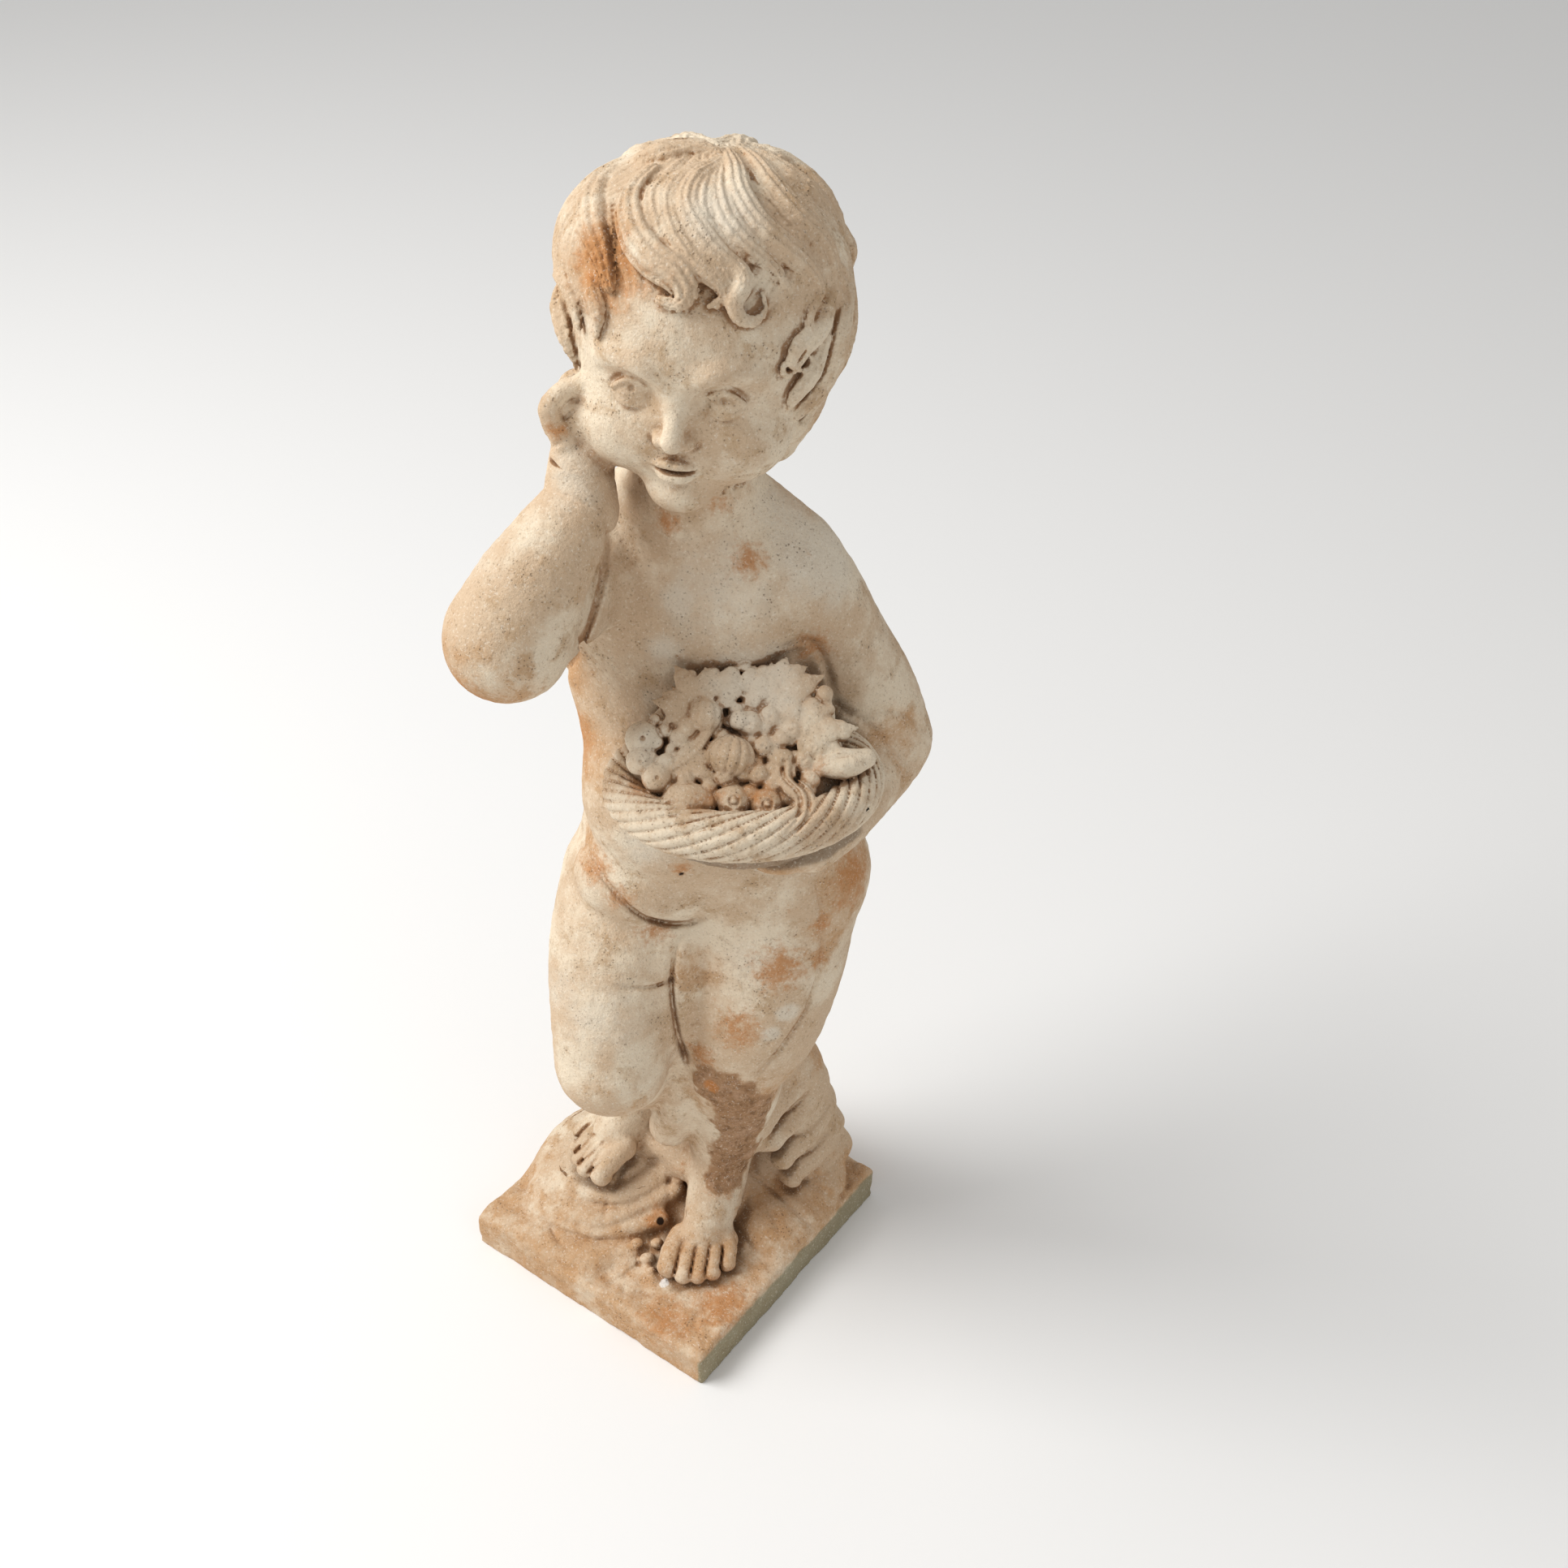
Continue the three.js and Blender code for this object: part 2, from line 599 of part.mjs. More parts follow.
// ---------------------------------------------------------------- the field on a grid
function sampleField() {
  const low = new THREE.Vector3(-192, -176, -8 - CELL);
  const counts = [392, 352, TOTAL_HEIGHT + 30].map((size) => Math.ceil(size / CELL) + 1);
  const [nx, ny, nz] = counts;
  const values = new Float32Array(nx * ny * nz).fill(40);
  const index = (v, axis, round) => {
    const cell = round((v.getComponent(axis) - low.getComponent(axis)) / CELL);
    return Math.min(Math.max(cell, 0), counts[axis] - 1);
  };
  for (const { kind, blend, bounds, distance } of forms) {
    const from = [0, 1, 2].map((axis) => index(bounds.min, axis, Math.floor));
    const to = [0, 1, 2].map((axis) => index(bounds.max, axis, Math.ceil));
    for (let k = from[2]; k <= to[2]; k += 1) {
      for (let j = from[1]; j <= to[1]; j += 1) {
        for (let i = from[0]; i <= to[0]; i += 1) {
          const at = i + nx * (j + ny * k);
          const d = distance(low.x + i * CELL, low.y + j * CELL, low.z + k * CELL);
          if (kind === "add") {
            values[at] = softMin(values[at], d, blend);
          } else if (kind === "cut") {
            values[at] = -softMin(-values[at], d, blend);
          } else {
            values[at] += d;
          }
        }
      }
    }
  }
  // the lowest layer stays empty, so the skin closes below the ground
  for (let at = 0; at < nx * ny; at += 1) {
    values[at] = CELL;
  }
  return { values, counts, low };
}

// ---------------------------------------------------------------- the skin of the field
// Corners and edges of a cell in the order that the marching cubes tables use.
const CORNERS = [[0, 0, 0], [1, 0, 0], [1, 1, 0], [0, 1, 0], [0, 0, 1], [1, 0, 1], [1, 1, 1], [0, 1, 1]];
const EDGES = [
  [0, 1], [1, 2], [3, 2], [0, 3], [4, 5], [5, 6], [7, 6], [4, 7], [0, 4], [1, 5], [2, 6], [3, 7],
];

function skin({ values, counts, low }) {
  const [nx, ny, nz] = counts;
  const points = [];
  const triangles = [];
  const made = new Map();
  const at = (i, j, k) => i + nx * (j + ny * k);
  const vertex = (i, j, k, edge) => {
    const [a, b] = EDGES[edge].map((corner) => CORNERS[corner]);
    const ga = at(i + a[0], j + a[1], k + a[2]);
    const axis = a.findIndex((v, n) => v !== b[n]);
    const key = ga * 3 + axis;
    if (!made.has(key)) {
      const va = values[ga];
      const vb = values[at(i + b[0], j + b[1], k + b[2])];
      const share = Math.min(Math.max(va / (va - vb), 0.02), 0.98);
      const grid = [i + a[0], j + a[1], k + a[2]];
      grid[axis] += share;
      made.set(key, points.length / 3);
      points.push(low.x + grid[0] * CELL, low.y + grid[1] * CELL, low.z + grid[2] * CELL);
    }
    return made.get(key);
  };
  for (let k = 0; k < nz - 1; k += 1) {
    for (let j = 0; j < ny - 1; j += 1) {
      for (let i = 0; i < nx - 1; i += 1) {
        let inside = 0;
        CORNERS.forEach(([a, b, c], n) => {
          if (values[at(i + a, j + b, k + c)] < 0) {
            inside |= 1 << n;
          }
        });
        if (edgeTable[inside] === 0) {
          continue;
        }
        for (let n = inside * 16; triTable[n] !== -1; n += 3) {
          const corners = [triTable[n], triTable[n + 1], triTable[n + 2]].map((e) => vertex(i, j, k, e));
          triangles.push(corners[0], corners[2], corners[1]);
        }
      }
    }
  }
  return { points, triangles };
}

// The largest connected shell: a speck or a sealed bubble between two forms isn't cast.
function largestShell({ points, triangles }) {
  const parent = Array.from({ length: points.length / 3 }, (_, v) => v);
  const root = (v) => {
    let at = v;
    while (parent[at] !== at) {
      parent[at] = parent[parent[at]];
      at = parent[at];
    }
    return at;
  };
  for (let f = 0; f < triangles.length; f += 3) {
    parent[root(triangles[f + 1])] = root(triangles[f]);
    parent[root(triangles[f + 2])] = root(triangles[f]);
  }
  const sizes = new Map();
  for (let f = 0; f < triangles.length; f += 3) {
    const shell = root(triangles[f]);
    sizes.set(shell, (sizes.get(shell) || 0) + 1);
  }
  const [main] = [...sizes.entries()].sort((a, b) => b[1] - a[1])[0];
  return { points, triangles: triangles.filter((_, n) => root(triangles[n - (n % 3)]) === main) };
}

// ---------------------------------------------------------------- thinning by edge collapse
// Each vertex carries the sum of its faces' squared plane distances (ten numbers); the edge
// whose best merged point strays least from its planes goes first.
class Heap {
  constructor() {
    this.items = [];
  }

  push(item) {
    const { items } = this;
    let n = items.push(item) - 1;
    while (n > 0) {
      const up = (n - 1) >> 1;
      if (items[up].cost <= item.cost) {
        break;
      }
      items[n] = items[up];
      n = up;
    }
    items[n] = item;
  }

  pop() {
    const { items } = this;
    const top = items[0];
    const last = items.pop();
    const size = items.length;
    if (size > 0) {
      let n = 0;
      for (let c = 1; c < size; c = 2 * n + 1) {
        if (c + 1 < size && items[c + 1].cost < items[c].cost) {
          c += 1;
        }
        if (items[c].cost >= last.cost) {
          break;
        }
        items[n] = items[c];
        n = c;
      }
      items[n] = last;
    }
    return top;
  }
}

function thin({ points, triangles }, budget) {
  const count = points.length / 3;
  const quadrics = new Float64Array(count * 10);
  const around = Array.from({ length: count }, () => new Set());
  const stamps = new Uint32Array(count);
  const normal = (a, b, c) => {
    const ux = points[b * 3] - points[a * 3];
    const uy = points[b * 3 + 1] - points[a * 3 + 1];
    const uz = points[b * 3 + 2] - points[a * 3 + 2];
    const vx = points[c * 3] - points[a * 3];
    const vy = points[c * 3 + 1] - points[a * 3 + 1];
    const vz = points[c * 3 + 2] - points[a * 3 + 2];
    return [uy * vz - uz * vy, uz * vx - ux * vz, ux * vy - uy * vx];
  };
  const faces = [];
  for (let f = 0; f < triangles.length; f += 3) {
    const face = [triangles[f], triangles[f + 1], triangles[f + 2]];
    faces.push(face);
    const n = normal(...face);
    const size = Math.hypot(...n) || 1e-9;
    const [a, b, c] = n.map((v) => v / size);
    const d = -(a * points[face[0] * 3] + b * points[face[0] * 3 + 1] + c * points[face[0] * 3 + 2]);
    const q = [a * a, a * b, a * c, a * d, b * b, b * c, b * d, c * c, c * d, d * d];
    for (const v of face) {
      around[v].add(faces.length - 1);
      q.forEach((value, i) => {
        quadrics[v * 10 + i] += value * size;
      });
    }
  }
  const candidate = (a, b) => {
    const q = Array.from({ length: 10 }, (_, i) => quadrics[a * 10 + i] + quadrics[b * 10 + i]);
    const middle = [0, 1, 2].map((i) => (points[a * 3 + i] + points[b * 3 + i]) / 2);
    const length = Math.hypot(...[0, 1, 2].map((i) => points[a * 3 + i] - points[b * 3 + i]));
    const cxx = q[4] * q[7] - q[5] * q[5];
    const cxy = q[2] * q[5] - q[1] * q[7];
    const cxz = q[1] * q[5] - q[2] * q[4];
    const det = q[0] * cxx + q[1] * cxy + q[2] * cxz;
    let to = middle;
    if (Math.abs(det) > 1e-3 * (q[0] + q[4] + q[7]) ** 3 * 0.01) {
      const cyy = q[0] * q[7] - q[2] * q[2];
      const cyz = q[1] * q[2] - q[0] * q[5];
      const czz = q[0] * q[4] - q[1] * q[1];
      const best = [
        -(cxx * q[3] + cxy * q[6] + cxz * q[8]) / det,
        -(cxy * q[3] + cyy * q[6] + cyz * q[8]) / det,
        -(cxz * q[3] + cyz * q[6] + czz * q[8]) / det,
      ];
      if (Math.hypot(...best.map((v, i) => v - middle[i])) < length) {
        to = best;
      }
    }
    const [x, y, z] = to;
    const error =
      q[0] * x * x + 2 * q[1] * x * y + 2 * q[2] * x * z + 2 * q[3] * x + q[4] * y * y +
      2 * q[5] * y * z + 2 * q[6] * y + q[7] * z * z + 2 * q[8] * z + q[9];
    const cost = Math.max(error, 0) + 0.004 * length ** 3;
    return { cost, a, b, to, stampA: stamps[a], stampB: stamps[b] };
  };
  const neighbours = (v) => {
    const near = new Set();
    for (const f of around[v]) {
      faces[f].forEach((w) => near.add(w));
    }
    near.delete(v);
    return near;
  };
  const flips = (v, other, to) => {
    for (const f of around[v]) {
      const face = faces[f];
      if (face.includes(other)) {
        continue;
      }
      const before = normal(...face);
      const kept = [points[v * 3], points[v * 3 + 1], points[v * 3 + 2]];
      to.forEach((value, i) => {
        points[v * 3 + i] = value;
      });
      const after = normal(...face);
      kept.forEach((value, i) => {
        points[v * 3 + i] = value;
      });
      const dot = before[0] * after[0] + before[1] * after[1] + before[2] * after[2];
      if (dot < 0.25 * Math.hypot(...before) * Math.hypot(...after)) {
        return true;
      }
    }
    return false;
  };
  const heap = new Heap();
  for (let v = 0; v < count; v += 1) {
    for (const w of neighbours(v)) {
      if (v < w) {
        heap.push(candidate(v, w));
      }
    }
  }
  let left = faces.length;
  while (left > budget && heap.items.length > 0) {
    const { a, b, to, stampA, stampB } = heap.pop();
    if (stamps[a] !== stampA || stamps[b] !== stampB) {
      continue;
    }
    const nearA = neighbours(a);
    const shared = [...neighbours(b)].filter((v) => nearA.has(v));
    if (shared.length !== 2 || flips(a, b, to) || flips(b, a, to)) {
      continue;
    }
    for (const f of [...around[b]]) {
      const face = faces[f];
      if (face.includes(a)) {
        face.forEach((v) => around[v].delete(f));
        faces[f] = null;
        left -= 1;
      } else {
        face[face.indexOf(b)] = a;
        around[a].add(f);
      }
    }
    around[b].clear();
    to.forEach((value, i) => {
      points[a * 3 + i] = value;
    });
    for (let i = 0; i < 10; i += 1) {
      quadrics[a * 10 + i] += quadrics[b * 10 + i];
    }
    stamps[a] += 1;
    stamps[b] += 1;
    for (const v of neighbours(a)) {
      heap.push(candidate(a, v));
    }
  }
  return { points, triangles: faces.filter(Boolean).flat() };
}

// ---------------------------------------------------------------- one closed casting
const wasm = await Module();
wasm.setup();

function asGeometry(points, triangles) {
  const geometry = new THREE.BufferGeometry();
  geometry.setAttribute("position", new THREE.Float32BufferAttribute(points, 3));
  geometry.setIndex(Array.from(triangles));
  return geometry;
}

function asSolid(geometry) {
  geometry.deleteAttribute("normal");
  geometry.deleteAttribute("uv");
  const merged = mergeVertices(geometry, 1e-4);
  const vertProperties = new Float32Array(merged.attributes.position.array);
  const triVerts = new Uint32Array(merged.index.array);
  return new wasm.Manifold(new wasm.Mesh({ numProp: 3, vertProperties, triVerts }));
}

function castStatue() {
  const { points, triangles } = thin(largestShell(skin(sampleField())), TRIANGLE_BUDGET);
  const aboveGround = new THREE.BoxGeometry(600, 600, TOTAL_HEIGHT).translate(0, 0, TOTAL_HEIGHT / 2);
  const solid = asSolid(asGeometry(points, triangles)).intersect(asSolid(aboveGround));
  const mesh = solid.getMesh();
  return asGeometry(mesh.vertProperties, mesh.triVerts);
}

const castStone = new THREE.MeshStandardMaterial({ color: 0xcbb79a, roughness: 0.92, metalness: 0 });
const geometry = castStatue();
geometry.computeVertexNormals();
const cherub = new THREE.Mesh(geometry, castStone);
cherub.name = "cherub_statue";
cherub.rotation.z = CORNER_TURN * RAD;

const statue = new THREE.Group();
statue.add(cherub);
export default statue;
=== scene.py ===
"""A cherub garden statue in weathered cast stone: a chubby child stands corner-wise on a square
slab, one knee forward over a rocky mound, one hand at the cheek, the other arm round a basket of
fruit. The whole figure is one casting, so its skin is one soft-edged form: limbs, locks of hair,
fruit and folds are blended in a distance field and meshed from it, because no modelling operator
gives stone its flowing joins. Lengths of the carving are millimetres, points are written [side,
front, up]: side to the figure's left, front the way it faces, up from the ground."""
import math

import bmesh
import bpy
import numpy as np
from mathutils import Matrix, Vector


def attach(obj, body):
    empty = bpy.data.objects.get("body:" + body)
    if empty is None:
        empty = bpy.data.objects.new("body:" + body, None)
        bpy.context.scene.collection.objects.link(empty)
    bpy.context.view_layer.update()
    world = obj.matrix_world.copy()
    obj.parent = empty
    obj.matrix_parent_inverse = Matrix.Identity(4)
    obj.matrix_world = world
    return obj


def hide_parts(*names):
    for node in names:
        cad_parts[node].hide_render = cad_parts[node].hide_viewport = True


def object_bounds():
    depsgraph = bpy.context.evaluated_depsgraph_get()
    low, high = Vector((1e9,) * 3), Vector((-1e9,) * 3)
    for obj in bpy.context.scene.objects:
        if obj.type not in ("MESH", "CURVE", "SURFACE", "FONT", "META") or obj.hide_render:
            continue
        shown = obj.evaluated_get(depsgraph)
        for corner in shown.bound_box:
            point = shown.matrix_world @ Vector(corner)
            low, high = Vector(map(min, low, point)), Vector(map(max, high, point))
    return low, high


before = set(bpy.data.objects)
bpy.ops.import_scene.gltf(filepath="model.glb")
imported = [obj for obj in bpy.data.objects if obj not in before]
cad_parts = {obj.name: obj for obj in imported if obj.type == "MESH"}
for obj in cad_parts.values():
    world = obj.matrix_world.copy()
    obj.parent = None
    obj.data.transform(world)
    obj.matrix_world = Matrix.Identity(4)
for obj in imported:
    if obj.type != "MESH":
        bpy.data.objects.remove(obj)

import openvdb
from mathutils import Euler, Matrix, Vector

CAD_BOX = [[float(v) for v in corner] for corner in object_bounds()]

# ------------------------------------------------------------------ driving sizes
TOTAL_HEIGHT = 850
MM = (CAD_BOX[1][2] - CAD_BOX[0][2]) / TOTAL_HEIGHT
SLAB_SIDE = 222
SLAB_THICKNESS = 29
CORNER_TURN = 41
TORSO_TURN = 18
HEAD_CENTRE = [38, 14, 758]
HEAD_TURN = 14
HEAD_NOD = 3
HEAD_LEAN = 4
SKULL = np.array([73, 79, 76])
BASKET_CENTRE = [52, 84, 498]
RIM_HALF_WIDTH = 70
RIM_HALF_DEPTH = 51
RIM_THICKNESS = 26
FAR = 12.0
BLOCK = 4


# ------------------------------------------------------------------ frames and curves
class Frame:
    """A set of axes in the figure. turn is towards the figure's right, nod tips the top
    forward and lean tips it to the figure's left, in degrees."""

    def __init__(self, origin, turn=0, nod=0, lean=0):
        about = Matrix.Rotation(math.radians(-turn), 3, "Z")
        about = about @ Matrix.Rotation(math.radians(nod), 3, "X")
        about = about @ Matrix.Rotation(math.radians(lean), 3, "Y")
        axes = [about @ Vector(axis) for axis in ((1, 0, 0), (0, -1, 0), (0, 0, 1))]
        self.origin = np.array(origin, np.float32)
        self.axes = np.array([(v.x, -v.y, v.z) for v in axes], np.float32)

    def place(self, points):
        return self.origin + np.asarray(points, np.float32) @ self.axes

    def local(self, points):
        return (points - self.origin) @ self.axes.T


def length(vectors):
    return np.sqrt(np.einsum("ij,ij->i", vectors, vectors))


def spine(base, points, steps):
    """Points [side, front, up, radius] joined by a smooth curve and cut into short pieces."""
    points = np.asarray(points, float)
    at = base.place(points[:, :3]).astype(float)
    at = np.vstack([2 * at[0] - at[1], at, 2 * at[-1] - at[-2]])
    radii = np.concatenate([points[:1, 3], points[:, 3], points[-1:, 3]])
    line = []
    for i in range(1, len(at) - 2):
        gaps = np.maximum(np.sqrt(np.linalg.norm(np.diff(at[i - 1 : i + 3], axis=0), axis=1)), 1e-4)
        a, b, c = gaps
        p0, p1, p2, p3 = at[i - 1 : i + 3]
        leave = b * ((p1 - p0) / a - (p2 - p0) / (a + b) + (p2 - p1) / b)
        arrive = b * ((p2 - p1) / b - (p3 - p1) / (b + c) + (p3 - p2) / c)
        r0, r1, r2, r3 = radii[i - 1 : i + 3]
        for step in range(steps + (i == len(at) - 3)):
            t = step / steps
            p = p1 + leave * t + (3 * (p2 - p1) - 2 * leave - arrive) * t**2
            p = p + (2 * (p1 - p2) + leave + arrive) * t**3
            v0, v1 = (r2 - r0) / 2, (r3 - r1) / 2
            r = r1 + v0 * t + (3 * (r2 - r1) - 2 * v0 - v1) * t**2
            r = r + (2 * (r1 - r2) + v0 + v1) * t**3
            line.append((*p, r))
    return np.array(line, np.float32)


# ------------------------------------------------------------------ the field
# Most of the carving faces the front and a little up, and was cut from there.
TOOL = np.array([0, 0.783, 0.622], np.float32)
forms = []


def form(kind, blend, points, reach, distance):
    """kind is add, cut or dent; reach is how far from its centre line a form acts."""
    grow = reach + blend + 6
    low = np.min(points, axis=0) - grow
    high = np.max(points, axis=0) + grow
    forms.append((kind, blend, low, high, distance))


def soft_min(a, b, blend):
    share = np.maximum(blend - np.abs(a - b), 0) / blend
    return np.minimum(a, b) - share * share * (blend * 0.25)


def ellipsoid(base, centre, half, blend, kind="add"):
    middle = base.place(centre)
    half = np.array(half, np.float32)

    def distance(p):
        q = (p - middle) @ base.axes.T / half
        k0 = length(q)
        return k0 * (k0 - 1) / np.maximum(length(q / half), 1e-6)

    form(kind, blend, [middle], half.max(), distance)


def nearest(line, p, flat=1, away=None):
    """Distance to the skin of the nearest piece of a spine. flat above 1 squashes the section by that much
    along the direction away from a centre."""
    best = np.full(len(p), 1e6, np.float32)
    for start, end in zip(line[:-1], line[1:]):
        along = end[:3] - start[:3]
        square = max(float(along @ along), 1e-6)
        q = p - start[:3]
        h = np.clip(q @ along / square, 0, 1)
        q -= h[:, None] * along
        if flat != 1:
            out = start[:3] - away
            out = out / np.linalg.norm(out)
            q += ((flat - 1) * (q @ out))[:, None] * out
        np.minimum(best, length(q) - start[3] - h * (end[3] - start[3]), out=best)
    return best


def limb(base, points, blend, steps=4, flat=1, away=None):
    line = spine(base, points, steps)
    away = None if away is None else np.array(away, np.float32)
    form("add", blend, line[:, :3], line[:, 3].max(), lambda p: nearest(line, p, flat, away))


def crease(base, points, width, steps=3, facing=TOOL, reach=20):
    """A line cut straight back into the side that faces the tool. Each point's radius is its
    depth, and reach is how far along the tool's way the cut still shows."""
    line = spine(base, points, steps)
    facing = np.asarray(facing, np.float32)

    def press(p):
        best = np.zeros(len(p), np.float32)
        for start, end in zip(line[:-1], line[1:]):
            along = end[:3] - start[:3]
            level = along - along @ facing * facing
            q = p - start[:3]
            h = np.clip(q @ level / max(float(level @ level), 1e-6), 0, 1)
            q -= h[:, None] * along
            off = q @ facing
            d = np.maximum(np.einsum("ij,ij->i", q, q) - off * off, 0) / (width * width)
            deep = np.maximum(start[3] + h * (end[3] - start[3]), 0)
            near = smooth_step((reach - np.abs(off)) / 6)
            np.maximum(best, deep * np.exp(-d) * near, out=best)
        return best

    form("dent", 0, line[:, :3], width * 2.2 + np.abs(facing) * reach, press)


def noise(p, size, seed):
    """Smooth random values from -1 to 1, changing over size millimetres."""
    table = np.random.default_rng(seed).uniform(-1, 1, (32, 32, 32)).astype(np.float32)
    q = p / size
    cell = np.floor(q)
    f = q - cell
    f = f * f * (3 - 2 * f)
    cell = cell.astype(np.int32)
    total = 0
    for corner in range(8):
        step = [corner & 1, corner >> 1 & 1, corner >> 2]
        weight = np.prod([f[:, k] if step[k] else 1 - f[:, k] for k in range(3)], axis=0)
        i, j, k = [(cell[:, n] + step[n]) & 31 for n in range(3)]
        total = total + weight * table[i, j, k]
    return total


def smooth_step(x):
    x = np.clip(x, 0, 1)
    return x * x * (3 - 2 * x)


# ------------------------------------------------------------------ slab and rocky mound
WORLD = Frame([0, 0, 0])
SLAB = Frame([0, 0, 0], CORNER_TURN)


def slab():
    half = SLAB_SIDE / 2
    rounding = 6

    def distance(p):
        q = SLAB.local(p)
        u, v, z = q[:, 0], q[:, 1], q[:, 2]
        wave = 1.1 * np.sin(u * 0.11) * np.sin(v * 0.09) + 0.8 * np.sin(z * 0.3 + u * 0.05)
        over = np.stack([np.abs(u) - half, np.abs(v) - half, z - SLAB_THICKNESS], axis=1)
        d = length(np.maximum(over + rounding, 0)) - rounding
        chip = 1.3 * noise(p, 14, 3) + 0.7 * noise(p, 6, 4)
        return np.maximum(d + wave * 0.6 + chip * (np.abs(d) < 12), -z - 8)

    form("add", 4, [SLAB.origin], half * 1.5, distance)


def mound():
    ellipsoid(WORLD, [-42, -30, 26], [70, 58, 46], 12)
    ellipsoid(WORLD, [-70, -8, 24], [44, 42, 32], 10)
    ellipsoid(WORLD, [40, -20, 24], [60, 60, 30], 12)
    path = [[82, -38, 20, 54], [84, -40, 80, 42], [84, -34, 122, 32], [82, -28, 140, 25]]
    limb(WORLD, path, 12)
    limb(WORLD, [[20, -70, 20, 50], [30, -62, 70, 34], [40, -50, 96, 26]], 12)
    # flat ledges of the rock behind the standing leg, each one further out than the one above
    for i in range(5):
        up = 138 - 21 * i
        out = 12 + 8 * i
        route = [
            [92, -60, up, 11],
            [83 + out, -34, up - 3, 13],
            [69 + out, -4, up - 10, 12],
            [52 + out, 14, up - 20, 9],
        ]
        limb(WORLD, route, 9, 4, 1.3, [80, -30, -1500])
    for i in range(4):
        up = 128 - 24 * i
        out = 9 * i + 5 * math.sin(i * 2.1)
        layer = [[74 + out / 2, 8, up - 14, 0], [88 + out, 3, up - 10, 1.8], [98 + out, -3, up - 4, 1.6]]
        crease(WORLD, [*layer, [108 + out, -16, up, 0.3]], 1.8, 3, TOOL, 40)
    # slanting slabs of rock between the standing foot and the right corner
    ellipsoid(Frame([80, 24, 26], 40, -6), [0, 0, 0], [38, 44, 19], 5)
    ellipsoid(Frame([62, 50, 18], 52, 4), [0, 0, 0], [34, 30, 16], 4)
    ellipsoid(Frame([104, 2, 34], 30, 8), [0, 0, 0], [26, 30, 16], 5)
    for route in (
        [[50, 2, 60, 1], [64, 14, 52, 2], [80, 28, 45, 2.6], [97, 40, 34, 2], [107, 48, 29, 1]],
        [[48, 50, 34, 1], [56, 66, 30, 2], [68, 76, 29, 2], [82, 80, 27, 1]],
        [[66, 30, 46, 1], [72, 42, 40, 2.5], [76, 54, 34, 1]],
        [[92, 8, 50, 1], [108, 16, 42, 2.5], [126, 22, 34, 1]],
    ):
        crease(WORLD, route, 2.6, 3, TOOL, 24)
    # nested hanging folds between the raised foot and the standing foot
    valleys = [
        [[4, 0, 84], [-10, -6, 68], [-30, 7, 61], [-50, 13, 57], [-68, 10, 57]],
        [[6, 6, 64], [-14, 13, 51], [-42, 24, 47], [-74, 19, 51], [-100, -14, 50]],
        [[-4, 23, 46], [-30, 30, 42], [-57, 41, 42], [-84, 30, 39], [-112, 6, 36]],
        [[-20, 44, 37], [-50, 47, 35], [-80, 37, 33], [-108, 18, 32], [-134, -6, 29]],
        [[-54, 68, 29], [-86, 66, 27], [-106, 52, 26], [-126, 34, 26], [-150, 12, 25]],
    ]
    for upper, lower in zip(valleys[:-1], valleys[1:]):
        middle = (np.array(upper) * 0.45 + np.array(lower) * 0.55) + [0, 0, -3]
        limb(WORLD, np.column_stack([middle, [4, 7, 8, 7, 4]]), 13)
    for number, valley in enumerate(valleys):
        deep = [0.4, 1.8, 2.4, 1.8, 0.4] if number % 2 else [0.3, 1.3, 1.7, 1.2, 0.2]
        crease(WORLD, np.column_stack([valley, deep]), 3.2, 3, TOOL, 16)
    # creases that run down across the folds, and rubble beside the standing foot
    for route in (
        [[-34, -2, 70, 1], [-44, 10, 62, 1.3], [-52, 22, 52, 1], [-56, 34, 44, 1]],
        [[-8, -2, 74, 0.6], [-6, 14, 56, 1.6], [-8, 30, 44, 0.6]],
        [[-96, 34, 36, 1], [-88, 46, 32, 2], [-72, 54, 30, 1]],
        [[-24, 58, 32, 1], [-34, 72, 30, 2], [-52, 84, 29, 1]],
        [[-4, 104, 30, 1], [-20, 98, 30, 2], [-42, 92, 29, 1]],
        [[14, 112, 30, 0], [8, 124, 30, 2], [14, 136, 29, 1]],
    ):
        crease(WORLD, route, 2.2, 3, TOOL, 16)
    rubble = ((-25, 64, 31, 6), (-17, 54, 36, 5), (-32, 52, 35, 5), (-22, 74, 30, 4))
    for side, front, up, size in rubble:
        ellipsoid(WORLD, [side, front, up], [size, size * 0.8, size * 0.8], 2)
    # the rock keeps within the slab's footprint
    half = SLAB_SIDE / 2 - 1

    def footprint(p):
        q = SLAB.local(p)
        overhang = np.maximum(q[:, 2] - SLAB_THICKNESS, 0) * 0.04
        return half - overhang - np.maximum(np.abs(q[:, 0]), np.abs(q[:, 1]))

    form("cut", 6, [SLAB.origin], half * 1.5, footprint)


